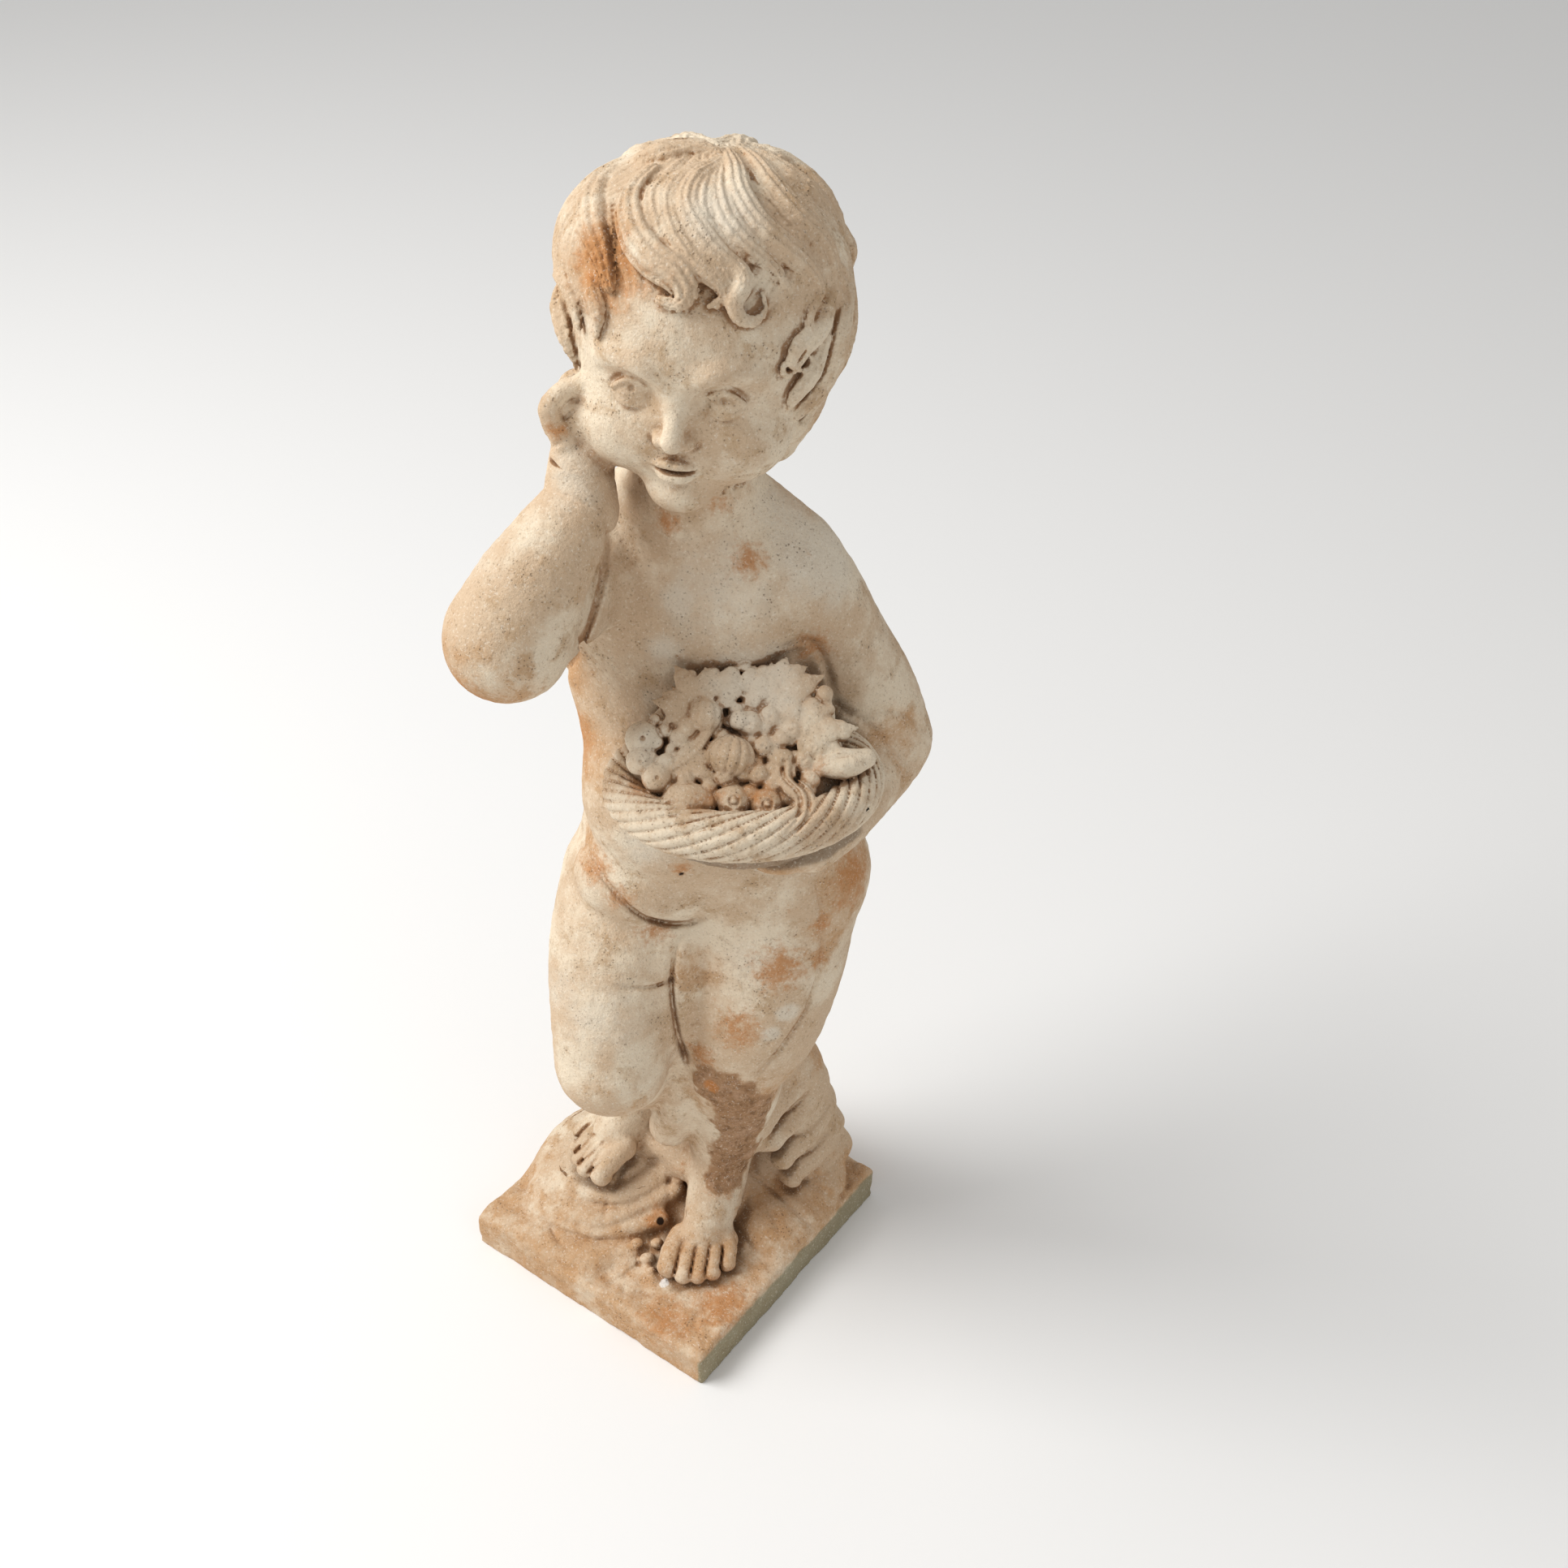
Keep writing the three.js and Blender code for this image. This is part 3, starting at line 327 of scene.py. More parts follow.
# ------------------------------------------------------------------ legs
def foot(base, inward):
    s = inward
    path = [[-2 * s, -48, 17, 19], [-s, -20, 22, 20], [s, 12, 18, 17], [4 * s, 28, 13, 14]]
    limb(base, path, 6)
    limb(base, [[-2 * s, -24, 44, 21], [-s, 0, 32, 20], [4 * s, 24, 19, 14]], 8)
    limb(base, [[17 * s, 30, 10, 11], [-13 * s, 26, 10, 10]], 6)
    toes = [[24, 63, 9], [11.5, 67, 7], [1, 64.5, 6.6], [-9, 60, 6.3], [-18.5, 50, 6]]
    for side, tip, radius in toes:
        toe = [
            [side * 0.8 * s, 28, 13, radius],
            [side * 0.95 * s, tip - 18, 11.5, radius],
            [side * s, tip - 11, 9.5, radius * 0.92],
            [side * s, tip - radius, 7, radius],
        ]
        limb(base, toe, 0.8, 3)
    for (a, tip_a, _), (b, tip_b, _) in zip(toes[:-1], toes[1:]):
        middle = (a + b) / 2 * s
        end = (tip_a + tip_b) / 2 - 4
        gap = [[middle * 0.9, 30, 16, 0], [middle, 40, 14, 1.8], [middle, end, 9, 2.2]]
        crease(base, gap, 1.1, 3, TOOL, 12)


def legs():
    # standing leg, then the back of its thigh
    leg = [
        [75, 0, 350, 58], [66, 10, 292, 59], [55, 20, 242, 53], [46, 27, 203, 37],
        [43, 14, 160, 36], [38, 10, 112, 28], [33, 11, 76, 22],
    ]
    limb(WORLD, leg, 14)
    thigh = [[92, -16, 345, 42], [90, -14, 290, 38], [80, -12, 236, 32], [66, -14, 190, 29]]
    limb(WORLD, [*thigh, [54, -6, 148, 27]], 10)
    ellipsoid(WORLD, [44, 45, 204], [28, 18, 22], 8)
    ellipsoid(WORLD, [97, -6, 352], [37, 44, 42], 22)
    foot(Frame([27, 30, 30], 14), -1)
    # bent leg: thigh forward, shin back down to the mound
    path = [[-16, -4, 350, 50], [-31, 22, 312, 46], [-37, 44, 272, 42], [-39, 57, 240, 39]]
    limb(WORLD, path, 5)
    # the flesh where the thighs press together
    flesh = [[8, 26, 348, 22], [3, 38, 312, 21], [1, 42, 276, 21], [0, 38, 244, 19]]
    limb(WORLD, [*flesh, [2, 26, 214, 16]], 8)
    limb(WORLD, [[9, 37, 226, 9], [8, 33, 200, 13], [5, 27, 162, 15], [-2, 14, 122, 16]], 8)
    # casting web behind the knees
    limb(WORLD, [[22, -34, 50, 40], [16, -24, 140, 28], [12, -14, 210, 24], [12, -6, 250, 22]], 8)
    limb(WORLD, [[-40, 54, 236, 35], [-27, 14, 185, 31], [-8, -34, 122, 22]], 6)
    foot(Frame([-24, -34, 76], 56, 9), 1)
    # stone under the ankle of the bent leg, with a slit left open in it
    limb(WORLD, [[-22, -18, 74, 13], [-4, -6, 76, 13], [8, 6, 70, 12]], 8)
    ellipsoid(Frame([-14, -2, 88], 0, 0, -30), [0, 0, 0], [5, 7, 2.4], 1, "cut")


# ------------------------------------------------------------------ trunk of the body
TORSO = Frame([0, 0, 0], TORSO_TURN)


def trunk(stations, blend):
    """Ellipses stacked up the height: [up, side, front, half width, half depth]."""
    table = np.array(stations, float)
    low, high = table[0, 0], table[-1, 0]
    heights = np.linspace(low, high, 120)
    slopes = np.gradient(table[:, 1:], table[:, 0], axis=0)
    at = np.clip(np.searchsorted(table[:, 0], heights, side="right") - 1, 0, len(table) - 2)
    gap = table[at + 1, 0] - table[at, 0]
    t = ((heights - table[at, 0]) / gap)[:, None]
    gap = gap[:, None]
    a, b = table[at, 1:], table[at + 1, 1:]
    rows = a * (2 * t**3 - 3 * t**2 + 1) + b * (3 * t**2 - 2 * t**3)
    rows = rows + gap * (slopes[at] * (t**3 - 2 * t**2 + t) + slopes[at + 1] * (t**3 - t**2))

    def distance(p):
        z = p[:, 2]
        side, front, wide, deep = [np.interp(z, heights, rows[:, n]) for n in range(4)]
        flat = np.stack([p[:, 0] - side, p[:, 1] - front, np.zeros(len(p))], axis=1)
        flat = (flat @ TORSO.axes.T)[:, :2] / np.stack([wide, deep], axis=1)
        k0 = length(flat)
        wall = k0 * (k0 - 1) / np.maximum(length(flat / np.stack([wide, deep], axis=1)), 1e-6)
        return np.maximum(wall, np.maximum(low - z, z - high)).astype(np.float32)

    middle = [rows[60, 0], rows[60, 1], (low + high) / 2]
    form("add", blend, [middle], (high - low) / 2 + 20, distance)


def torso():
    trunk(
        [
            [318, 36, -4, 74, 44],
            [350, 36, -2, 91, 52],
            [380, 37, 0, 91, 56],
            [410, 34, 4, 83, 58],
            [445, 31, 5, 76, 57],
            [484, 26, 3, 74, 54],
            [530, 22, 0, 78, 51],
            [570, 23, -4, 78, 47],
            [604, 25, -5, 70, 40],
            [632, 27, -2, 50, 34],
            [652, 29, 2, 36, 31],
        ],
        10,
    )
    ellipsoid(TORSO, [18, 24, 440], [57, 44, 60], 14)
    ellipsoid(TORSO, [-6, 32, 378], [42, 30, 34], 12)
    # chest, shoulder blades, buttocks
    for side in (-8, 50):
        ellipsoid(TORSO, [side, 8, 576], [42, 26, 34], 24)
    for side in (-8, 52):
        ellipsoid(TORSO, [side, -36, 560], [28, 16, 34], 14)
    for side in (0, 78):
        ellipsoid(TORSO, [side, -34, 352], [48, 38, 46], 20)


def creases():
    # under the belly, across the raised thigh, and between the thighs
    belly = [[-50, 28, 410, 1], [-41, 40, 398, 3.4], [-20, 56, 376, 5], [-7, 55, 363, 5.6]]
    crease(WORLD, [*belly, [8, 50, 354, 5.4], [21, 50, 356, 3.6], [32, 53, 366, 0.6]], 2.6, 3, TOOL, 30)
    path = [[-32, 69, 319, 0.6], [-20, 68, 316, 3], [-8, 66, 314, 3.6], [4, 60, 314, 3.2]]
    crease(WORLD, path, 1.8)
    inner = [[16, 46, 348, 1], [8, 48, 334, 3], [4, 53, 315, 4.6], [3, 54, 296, 5]]
    inner += [[4, 52, 274, 5], [6, 46, 250, 4.6], [9, 42, 232, 4.4], [11, 36, 214, 2]]
    crease(WORLD, inner, 2.1, 3, TOOL, 34)
    # the soft folds over the knee and behind it
    path = [[10, 44, 244, 0.5], [20, 58, 236, 1.4], [32, 68, 226, 1.3], [48, 72, 221, 0.4]]
    crease(WORLD, path, 1.8)
    crease(WORLD, [[16, 54, 222, 1], [30, 64, 214, 2], [46, 68, 212, 2], [62, 66, 222, 1.4]], 2.4)
    # the mould seam down the left thigh
    seam = [[99, 56, 396, 0.5], [101, 53, 374, 2], [103, 53, 348, 2], [102, 55, 319, 2.2]]
    crease(WORLD, [*seam, [97, 60, 297, 2.4], [91, 63, 280, 3], [76, 70, 257, 3], [60, 70, 232, 2]], 1.8)
    path = [[84, 66, 300, 0.4], [80, 70, 284, 1.2], [70, 72, 266, 1.2], [62, 72, 254, 0.4]]
    crease(WORLD, path, 1.8)
    # behind: between and under the buttocks, and along the backbone
    back = [0, -1, 0]
    path = [[48, -58, 404, 2], [50, -66, 366, 9], [48, -66, 324, 9], [44, -54, 300, 3]]
    crease(WORLD, path, 5, 4, back)
    crease(WORLD, [[38, -54, 600, 2], [42, -54, 500, 4], [49, -56, 430, 2.5]], 8, 4, back)
    crease(WORLD, [[-20, -50, 308, 1], [6, -62, 303, 5], [36, -62, 306, 3]], 3, 4, back)
    crease(WORLD, [[62, -64, 306, 3], [86, -56, 300, 5], [112, -40, 306, 1]], 3, 4, back)
    crease(WORLD, [[60, -40, 196, 1], [76, -42, 192, 4], [90, -34, 196, 1]], 3, 4, back)
    # folds of the neck, and the front of the right arm against the chest
    path = [[16, 40, 660, 0.4], [30, 42, 657, 1.4], [48, 37, 656, 1.8], [62, 26, 653, 0.4]]
    crease(WORLD, path, 1.9)
    crease(WORLD, [[14, 39, 652, 0.4], [34, 41, 648, 1.3], [58, 29, 645, 0.4]], 1.9)
    fold = [[-18, 44, 652, 0.5], [-21, 40, 634, 3], [-27, 54, 614, 4], [-36, 56, 586, 4]]
    crease(WORLD, [*fold, [-46, 20, 545, 3.6], [-52, 4, 524, 1.5]], 2.6, 3, TOOL, 34)
    # wrinkles of the chest beside the armpit
    for drop in (0, 9, 17):
        line = [[66, 44, 572 - drop, 0], [78, 41, 570 - drop, 1], [90, 38, 574 - drop, 0.4]]
        crease(WORLD, line, 1.8)


# ------------------------------------------------------------------ arms and hands
def arms():
    # left arm: hangs out from the shoulder, forearm forward under the basket
    upper = [[66, 12, 602, 34], [88, 10, 586, 35], [111, 4, 540, 34], [134, 0, 492, 34]]
    limb(WORLD, [*upper, [145, 4, 463, 32]], 8)
    limb(WORLD, [[34, -6, 648, 24], [66, 2, 626, 24], [84, 6, 606, 26]], 12)
    limb(WORLD, [[24, -6, 648, 24], [-8, -14, 626, 24], [-26, -12, 606, 26]], 12)
    limb(WORLD, [[140, 8, 455, 31], [126, 40, 454, 25], [108, 72, 452, 20], [92, 90, 450, 17]], 3)
    ellipsoid(Frame([80, 92, 450], 60), [0, 0, 0], [20, 28, 10], 8)
    # right arm: elbow forward and out, forearm up, loose fist at the cheek
    path = [[-26, -8, 600, 36], [-50, 26, 600, 36], [-70, 60, 600, 35], [-78, 78, 600, 35]]
    limb(WORLD, path, 8)
    path = [[-78, 78, 601, 35], [-64, 74, 629, 31], [-47, 62, 650, 26], [-36, 50, 662, 22]]
    limb(WORLD, path, 4)
    limb(WORLD, [[-33, 44, 662, 21], [-33, 40, 682, 18], [-36, 36, 698, 12]], 3)
    ellipsoid(WORLD, [-32, 22, 712], [13, 24, 20], 3)
    ellipsoid(WORLD, [-36, 30, 719], [9, 15, 13], 2)
    for i in range(4):
        front, drop = 41 - 9 * i, 7 * i
        finger = [
            [-36.5, front - 1, 697 - drop, 9.5],
            [-40.5, front, 709 - drop, 7.5],
            [-46, front, 721 - drop, 7],
            [-39, front - 1, 730.5 - drop, 6],
            [-29, front - 2, 735 - drop, 5],
        ]
        limb(WORLD, finger, 0.8, 3)
    # the bends inside the finger and across the wrist, then the folds of the left elbow
    crease(WORLD, [[-30, 46, 725, 0.5], [-37, 48, 721, 2], [-41, 48, 717, 0.5]], 1.3)
    crease(WORLD, [[-50, 48, 706, 0.4], [-44, 52, 707, 1.2], [-36, 52, 711, 1]], 1.3)
    path = [[-53, 44, 676, 0.8], [-45, 57, 679, 1.6], [-31, 65, 677, 1.6], [-19, 62, 671, 0.8]]
    crease(WORLD, path, 1.4)
    elbow = [[112, 32, 512, 0.4], [124, 34, 502, 2], [140, 32, 505, 2.6], [158, 23, 493, 2]]
    crease(WORLD, [*elbow, [169, 13, 472, 0.6]], 2.2)
    crease(WORLD, [[126, 34, 500, 1], [134, 36, 494, 2], [142, 34, 480, 0.5]], 2.6)
    pit = [[80, 40, 558, 0.4], [92, 39, 564, 1.8], [101, 37, 553, 3], [107, 32, 530, 2]]
    crease(WORLD, [*pit, [112, 33, 512, 2], [120, 34, 503, 1]], 2.8)


# ------------------------------------------------------------------ head, face and hair
HEAD = Frame(HEAD_CENTRE, HEAD_TURN, HEAD_NOD, HEAD_LEAN)
AHEAD = HEAD.axes[1]
FACE_WAY = np.array([0, 0.94, -0.34], np.float32)
CROWN = [-168, 81]
LOCK_STRANDS = 4
# Each lock: its way over the skull as [bearing, height], its half width, lift and closing curl.
LOCKS = [
    # across the top, and the falls over the right temple
    ([[-165, 64], [-140, 50], [-124, 38], [-116, 24]], 11, 3, 0),
    ([[-140, 66], [-121, 58], [-109, 51], [-102, 43]], 9, 4, 0),
    ([[-103, 44], [-94, 36], [-76, 34], [-54, 33], [-42, 27]], 9, 4, 0),
    ([[-106, 56], [-84, 47], [-58, 41], [-42, 35], [-32, 26]], 13, 5, 0),
    ([[-43, 72], [-33, 61], [-19, 52], [-9, 44], [-2, 40]], 8, 5, 0),
    ([[-65, 68], [-48, 57], [-29, 47], [-13, 40], [-3, 37], [2, 32], [0, 27], [-7, 27]], 11, 6, 0),
    ([[150, 86], [-120, 80], [-95, 72], [-97, 60], [-108, 50]], 8, 7, 0),
    # the fringe over the brow
    ([[60, 84], [-21, 76], [-16, 64], [-4, 54], [6, 46], [18, 38], [20, 31], [15, 27]], 7, 5, 0),
    ([[30, 86], [-26, 72], [-21, 61], [-7, 49], [5, 40], [15, 35], [17, 30], [12, 27]], 7, 6, 0),
    ([[70, 86], [5, 68], [8, 57], [20, 49], [32, 42]], 8, 5, 0),
    ([[60, 85], [-6, 73], [-5, 61], [7, 51], [17, 44], [27, 39], [30, 36]], 8, 6, 0),
    ([[60, 84], [20, 68], [22, 56], [31, 47], [42, 39], [46, 31]], 9, 5, 0),
    ([[8, 50], [18, 43], [25, 38], [25, 33], [21, 28], [23, 23], [28, 21], [34, 24], [34, 30]], 5, 6, 0),
    # the sweep over the left temple, which closes in a big curl
    ([[150, 72], [102, 73], [74, 64], [71, 51], [78, 38], [78, 28], [73, 18], [66, 10]], 9, 5, 0),
    ([[140, 82], [56, 78], [36, 66], [39, 54], [51, 43], [61, 32], [64, 24], [56, 18]], 9, 6, 6),
    ([[160, 70], [122, 64], [108, 52], [109, 38], [103, 27], [90, 18]], 10, 3, 0),
    ([[165, 62], [140, 55], [123, 44], [115, 34], [109, 24], [103, 13]], 10, 5, 0),
    # the right temple
    ([[-100, 44], [-92, 34], [-86, 25], [-83, 19], [-77, 16], [-66, 19], [-63, 27]], 5, 5, 5),
    ([[-92, 16], [-80, 12], [-62, 16], [-50, 12], [-46, 4]], 7, 4, 0),
    ([[-50, 27], [-40, 21], [-34, 15], [-34, 6]], 6, 3, 0),
    ([[-84, 6], [-70, 0], [-60, -8], [-58, -18]], 8, 3, 0),
    ([[-104, 8], [-94, -6], [-80, -16], [-72, -26]], 9, 3, 5),
    # past the left ear to the shoulder
    ([[124, 22], [114, 8], [106, -8], [102, -24], [98, -40], [92, -50]], 9, 2, 0),
    ([[114, 16], [99, 4], [90, -8], [86, -22], [82, -36], [74, -47]], 8, 3, 0),
    ([[100, 22], [85, 14], [74, 4], [70, -6], [66, -16], [68, -28], [68, -38], [60, -47]], 7, 6, 0),
    ([[76, 22], [66, 16], [60, 10], [53, 5], [47, -2]], 6, 4, -4),
    ([[64, 14], [54, 11], [47, 8], [45, 2], [50, -3]], 5, 4, 4),
    ([[66, 4], [56, -6], [49, -14], [48, -23]], 6, 4, -4),
    ([[78, -6], [64, -16], [55, -26], [52, -38]], 6, 5, 4),
    ([[70, -30], [60, -40], [52, -48]], 6, 8, -3),
]


def head_and_face():
    limb(WORLD, [[28, 4, 630, 36], [33, 8, 700, 36]], 10)
    ellipsoid(HEAD, [0, -6, 6], SKULL, 6)
    ellipsoid(HEAD, [0, 18, -36], [57, 52, 50], 14)
    ellipsoid(HEAD, [0, 53, -74], [17, 14, 13], 12)
    for s in (-1, 1):
        ellipsoid(HEAD, [29 * s, 40, -43], [25, 25, 23], 12)
        brow = [[8 * s, 68, 0, 4], [19 * s, 70, 7, 5], [31 * s, 64, 8, 4.5], [42 * s, 55, 1, 3]]
        limb(HEAD, brow, 8)
        ellipsoid(HEAD, [24 * s, 80, -12], [18, 18, 13], 6, "cut")
        eye(s)
    bridge = [[0, 65, 4, 5], [0, 69, -12, 4.5], [0, 75, -25, 5.5], [0, 77, -31, 6.5]]
    limb(HEAD, bridge, 6)
    for s in (-1, 1):
        ellipsoid(HEAD, [7.5 * s, 71, -33.5], [5, 6.5, 4.6], 2.5)
        ellipsoid(HEAD, [4 * s, 77, -39], [1.6, 2.4, 1.5], 1, "cut")
        path = [[12 * s, 70, -30, 0], [12.5 * s, 70, -36, 1.2], [9 * s, 72, -39, 1]]
        crease(HEAD, path, 1.4, 3, AHEAD)
    crease(HEAD, [[0, 74, -41, 0.4], [0, 74, -46, 1]], 2.2, 3, AHEAD)
    upper = [[-14, 63, -53, 1.4], [-8, 68, -50, 2.6], [-3, 71, -48.5, 3], [0, 71, -49, 2.7]]
    limb(HEAD, [*upper, [3, 71, -48.5, 3], [8, 68, -50, 2.6], [14, 63, -53, 1.4]], 2)
    lower = [[-11, 64, -55.5, 2], [-5, 68.5, -57, 3.4], [0, 69.5, -57.5, 3.8]]
    limb(HEAD, [*lower, [5, 68.5, -57, 3.4], [11, 64, -55.5, 2]], 2)
    mouth = [[-14, 64, -54, 0.4], [-8, 69, -53.2, 0.9], [0, 73, -53.2, 1.3], [8, 69, -53.2, 0.9]]
    crease(HEAD, [*mouth, [14, 64, -54, 0.4]], 1.1, 3, AHEAD)
    crease(HEAD, [[-9, 62, -64.5, 0], [0, 66, -65.5, 1.4], [9, 62, -64.5, 0]], 4, 3, AHEAD)


def eye(side):
    """An eyeball between two lids, on textbook proportions: the lids follow the ball."""
    middle, radius = np.array([24 * side, 56, -12]), 12
    ellipsoid(HEAD, middle, [radius] * 3, 0.8)

    def lid(rise, thick, lift):
        route = []
        for turn in (-60, -38, -5, 30, 56):
            b = math.radians(turn * side)
            h = math.radians(rise * math.cos(math.radians(turn * 1.4)) - 3)
            way = np.array([math.sin(b) * math.cos(h), math.cos(b) * math.cos(h), math.sin(h)])
            route.append([*(middle + way * (radius + lift)), thick * (0.6 + 0.4 * math.cos(b))])
        return route

    limb(HEAD, lid(43, 2, 0.9), 1)
    limb(HEAD, lid(-32, 1.6, 0.3), 1)
    crease(HEAD, lid(84, 0.7, 2), 1.5, 3, AHEAD)
    # the ring of the iris and the drilled pupil, a little raised gaze
    gaze = np.array([0, math.cos(0.3), math.sin(0.3)])
    ring = []
    for i in range(9):
        turn = i * math.pi / 4
        around = np.array([math.cos(turn), -math.sin(turn) * gaze[2], math.sin(turn) * gaze[1]])
        ring.append([*(middle + gaze * (radius - 1) + around * 4.6), 0.35])
    crease(HEAD, ring, 0.8, 2, AHEAD, 8)
    ellipsoid(HEAD, middle + gaze * (radius + 0.4), [2.5, 2.5, 2.5], 0.6, "cut")


def comb():
    """Fine strands in the cap of hair, running down from the crown in slow waves."""
    b, h = math.radians(CROWN[0]), math.radians(CROWN[1])
    pole = np.array([math.sin(b) * math.cos(h), math.cos(b) * math.cos(h), math.sin(h)])
    across = np.cross(pole, [0, 1, 0])
    across = across / np.linalg.norm(across)
    along = np.cross(across, pole)
    centre = HEAD.place([0, -6, 6])

    def groove(p):
        q = HEAD.local(p) - [0, -6, 6]
        q = (q / np.maximum(length(q), 1)[:, None]).astype(np.float32)
        bearing = np.arctan2(q @ across, q @ along)
        fall = np.arccos(np.clip(q @ pole, -1, 1))
        wave = 1.6 * np.sin(3.4 * fall + 2 * bearing) + 0.8 * np.sin(7 * fall - 3 * bearing)
        strand = 0.5 + 0.5 * np.cos(78 * bearing + 9 * wave)
        tress = 0.5 + 0.5 * np.cos(19 * bearing + 2.2 * wave)
        bare = smooth_step((q @ FACE_WAY - 0.6) / 0.08)
        return (0.9 * strand**3 + 1.2 * tress**4) * (1 - bare)

    form("dent", 0, [centre], 92, groove)


def over_skull(bearing, height, lift):
    """A point over the skull: bearing from the brow round to the figure's left, height angle."""
    b, h = math.radians(bearing), math.radians(height)
    way = np.array([math.sin(b) * math.cos(h), math.cos(b) * math.cos(h), math.sin(h)])
    reach = 1 / np.linalg.norm(way / SKULL) + lift
    return way * reach + [0, -6, 6]


def lock(route, width, lift, curl=0):
    """A lock of hair laid over the skull through [bearing, height] angles. It swells, then
    tapers; curl adds a closing hook of that radius, turning left or right by its sign. Grooves
    part it into strands."""
    points = []
    for i, (bearing, height) in enumerate(route):
        share = i / (len(route) - 1)
        swell = width * (0.34 + 0.66 * math.sin(math.pi * min(0.1 + share, 1)))
        points.append([*over_skull(bearing, height, lift * (0.4 + 0.6 * swell / width)), swell])
    if curl:
        (b0, h0), (b1, h1) = route[-2:]
        slant = math.cos(math.radians(h1))
        heading = math.atan2(h1 - h0, (b1 - b0) * slant)
        size, spin = abs(curl), math.copysign(1, curl)
        centre = heading + spin * math.pi / 2
        for i in range(1, 6):
            angle = centre + math.pi + spin * i * 0.95
            radius = size * (1 - 0.1 * i)
            b = b1 + (size * math.cos(centre) + radius * math.cos(angle)) / slant
            h = h1 + size * math.sin(centre) + radius * math.sin(angle)
            points.append([*over_skull(b, h, lift * 0.6), width * (0.42 - 0.03 * i)])
    line = spine(HEAD, points, 3)
    flat = 1.2
    depth = 0.16 * float(line[:, 3].max())

    def distance(p):
        best = np.full(len(p), 1e6, np.float32)
        strand = np.zeros(len(p), np.float32)
        for start, end in zip(line[:-1], line[1:]):
            along = end[:3] - start[:3]
            square = max(float(along @ along), 1e-6)
            out = start[:3] - HEAD.origin
            out = out / np.linalg.norm(out)
            across = np.cross(along / math.sqrt(square), out)
            q = p - start[:3]
            h = np.clip(q @ along / square, 0, 1)
            q -= h[:, None] * along
            side = q @ across
            q += ((flat - 1) * (q @ out))[:, None] * out
            radius = start[3] + h * (end[3] - start[3])
            d = length(q) - radius
            closer = d < best
            best = np.where(closer, d, best)
            strand = np.where(closer, side / np.maximum(radius, 2), strand)
        return best + depth * (0.5 + 0.5 * np.cos(math.pi * (LOCK_STRANDS * strand + 1))) ** 2

    form("add", 1.2, line[:, :3], width * 1.3, distance)


def hair():
    # the close cap under the locks, fuller at the right temple and down to the nape
    ellipsoid(HEAD, [2, -14, 12], [76, 75, 73], 3)
    ellipsoid(HEAD, [-29, -8, 31], [53, 60, 48], 8)
    ellipsoid(HEAD, [0, -8, 22], [76, 74, 66], 4)
    ellipsoid(HEAD, [-2, -26, -28], [70, 52, 56], 8)
    limb(HEAD, [[46, -14, -20, 27], [44, -12, -50, 23], [41, -8, -72, 15]], 8)
    for route, lift, radius in (
        (((92, 30), (86, 8), (78, -14), (70, -38)), -5, 13),
        (((68, 20), (62, 3), (60, -16), (60, -34)), -7, 11),
    ):
        behind = [over_skull(bearing, height, lift) for bearing, height in route]
        limb(HEAD, np.column_stack([behind, [radius - 3, radius, radius, radius - 3]]), 6)
    comb()
    for route, width, lift, curl in LOCKS:
        lock(route, width, lift, curl)
    # behind, three tiers of locks turn left and right by turns
    for i in range(9):
        bearing = 112 + i * 17
        curl = 6 if i % 2 else -6
        sway = 7 if i % 2 else -7
        lock([[bearing - sway, 72], [bearing + sway, 52], [bearing - sway, 34]], 11, 3.5, curl)
        lock([[bearing + 8, 38], [bearing + 8 + sway, 20], [bearing + 8 - sway, 2]], 11, 3.5, -curl)
        lock([[bearing, 4], [bearing + sway, -14], [bearing - sway, -34]], 10, 4, curl)


# ------------------------------------------------------------------ basket of fruit
BASKET = Frame(BASKET_CENTRE)
UNDER_HEAP = np.array([50, -438, -80], float)


def basket_bowl():
    """A woven bowl: rods stand round it and bands pass in front of and behind them by turns."""
    floor = -44

    def distance(p):
        q = p - BASKET.origin
        share = np.clip((q[:, 2] - floor) / -floor, 0, 1)
        swell = 0.56 + 0.4 * np.sqrt(share)
        size = np.stack([RIM_HALF_WIDTH * swell, RIM_HALF_DEPTH * swell], axis=1)
        flat = q[:, :2] / size
        k0 = length(flat)
        wall = k0 * (k0 - 1) / np.maximum(length(flat / size), 1e-6)
        around = np.arctan2(flat[:, 1], flat[:, 0])
        weave = np.sin(q[:, 2] * math.pi / 7) * np.sin(around * 22)
        wall = wall - 1.3 * weave * (np.abs(weave) > 0.15)
        return np.maximum(wall, np.maximum(floor - q[:, 2], q[:, 2] - 4))

    form("add", 1, [BASKET.place([0, 0, floor / 2])], RIM_HALF_WIDTH, distance)


def basket_rim():
    """The rim is a rope of long fine strands laid round the oval, thicker below than above."""
    strands, laps, groove = 12, 34, 2.3

    def distance(p):
        q = p - BASKET.origin
        around = np.arctan2(-q[:, 1] / RIM_HALF_DEPTH, q[:, 0] / RIM_HALF_WIDTH)
        oval = np.stack([RIM_HALF_WIDTH * np.cos(around), RIM_HALF_DEPTH * np.sin(around)], axis=1)
        out = length(q[:, :2]) - length(oval)
        rise = (q[:, 2] + 2.5) * 0.86
        section = np.arctan2(rise, out)
        phase = strands * section - laps * around
        strand = groove * (1 - np.abs(np.sin(phase / 2))) ** 2
        fibre = 0.5 * (1 - np.abs(np.sin(phase * 1.5 + 0.5))) ** 2
        return np.hypot(out, rise) - RIM_THICKNESS / 2 - 0.8 + strand + fibre

    form("add", 1, [BASKET.origin], RIM_HALF_WIDTH + RIM_THICKNESS / 2, distance)


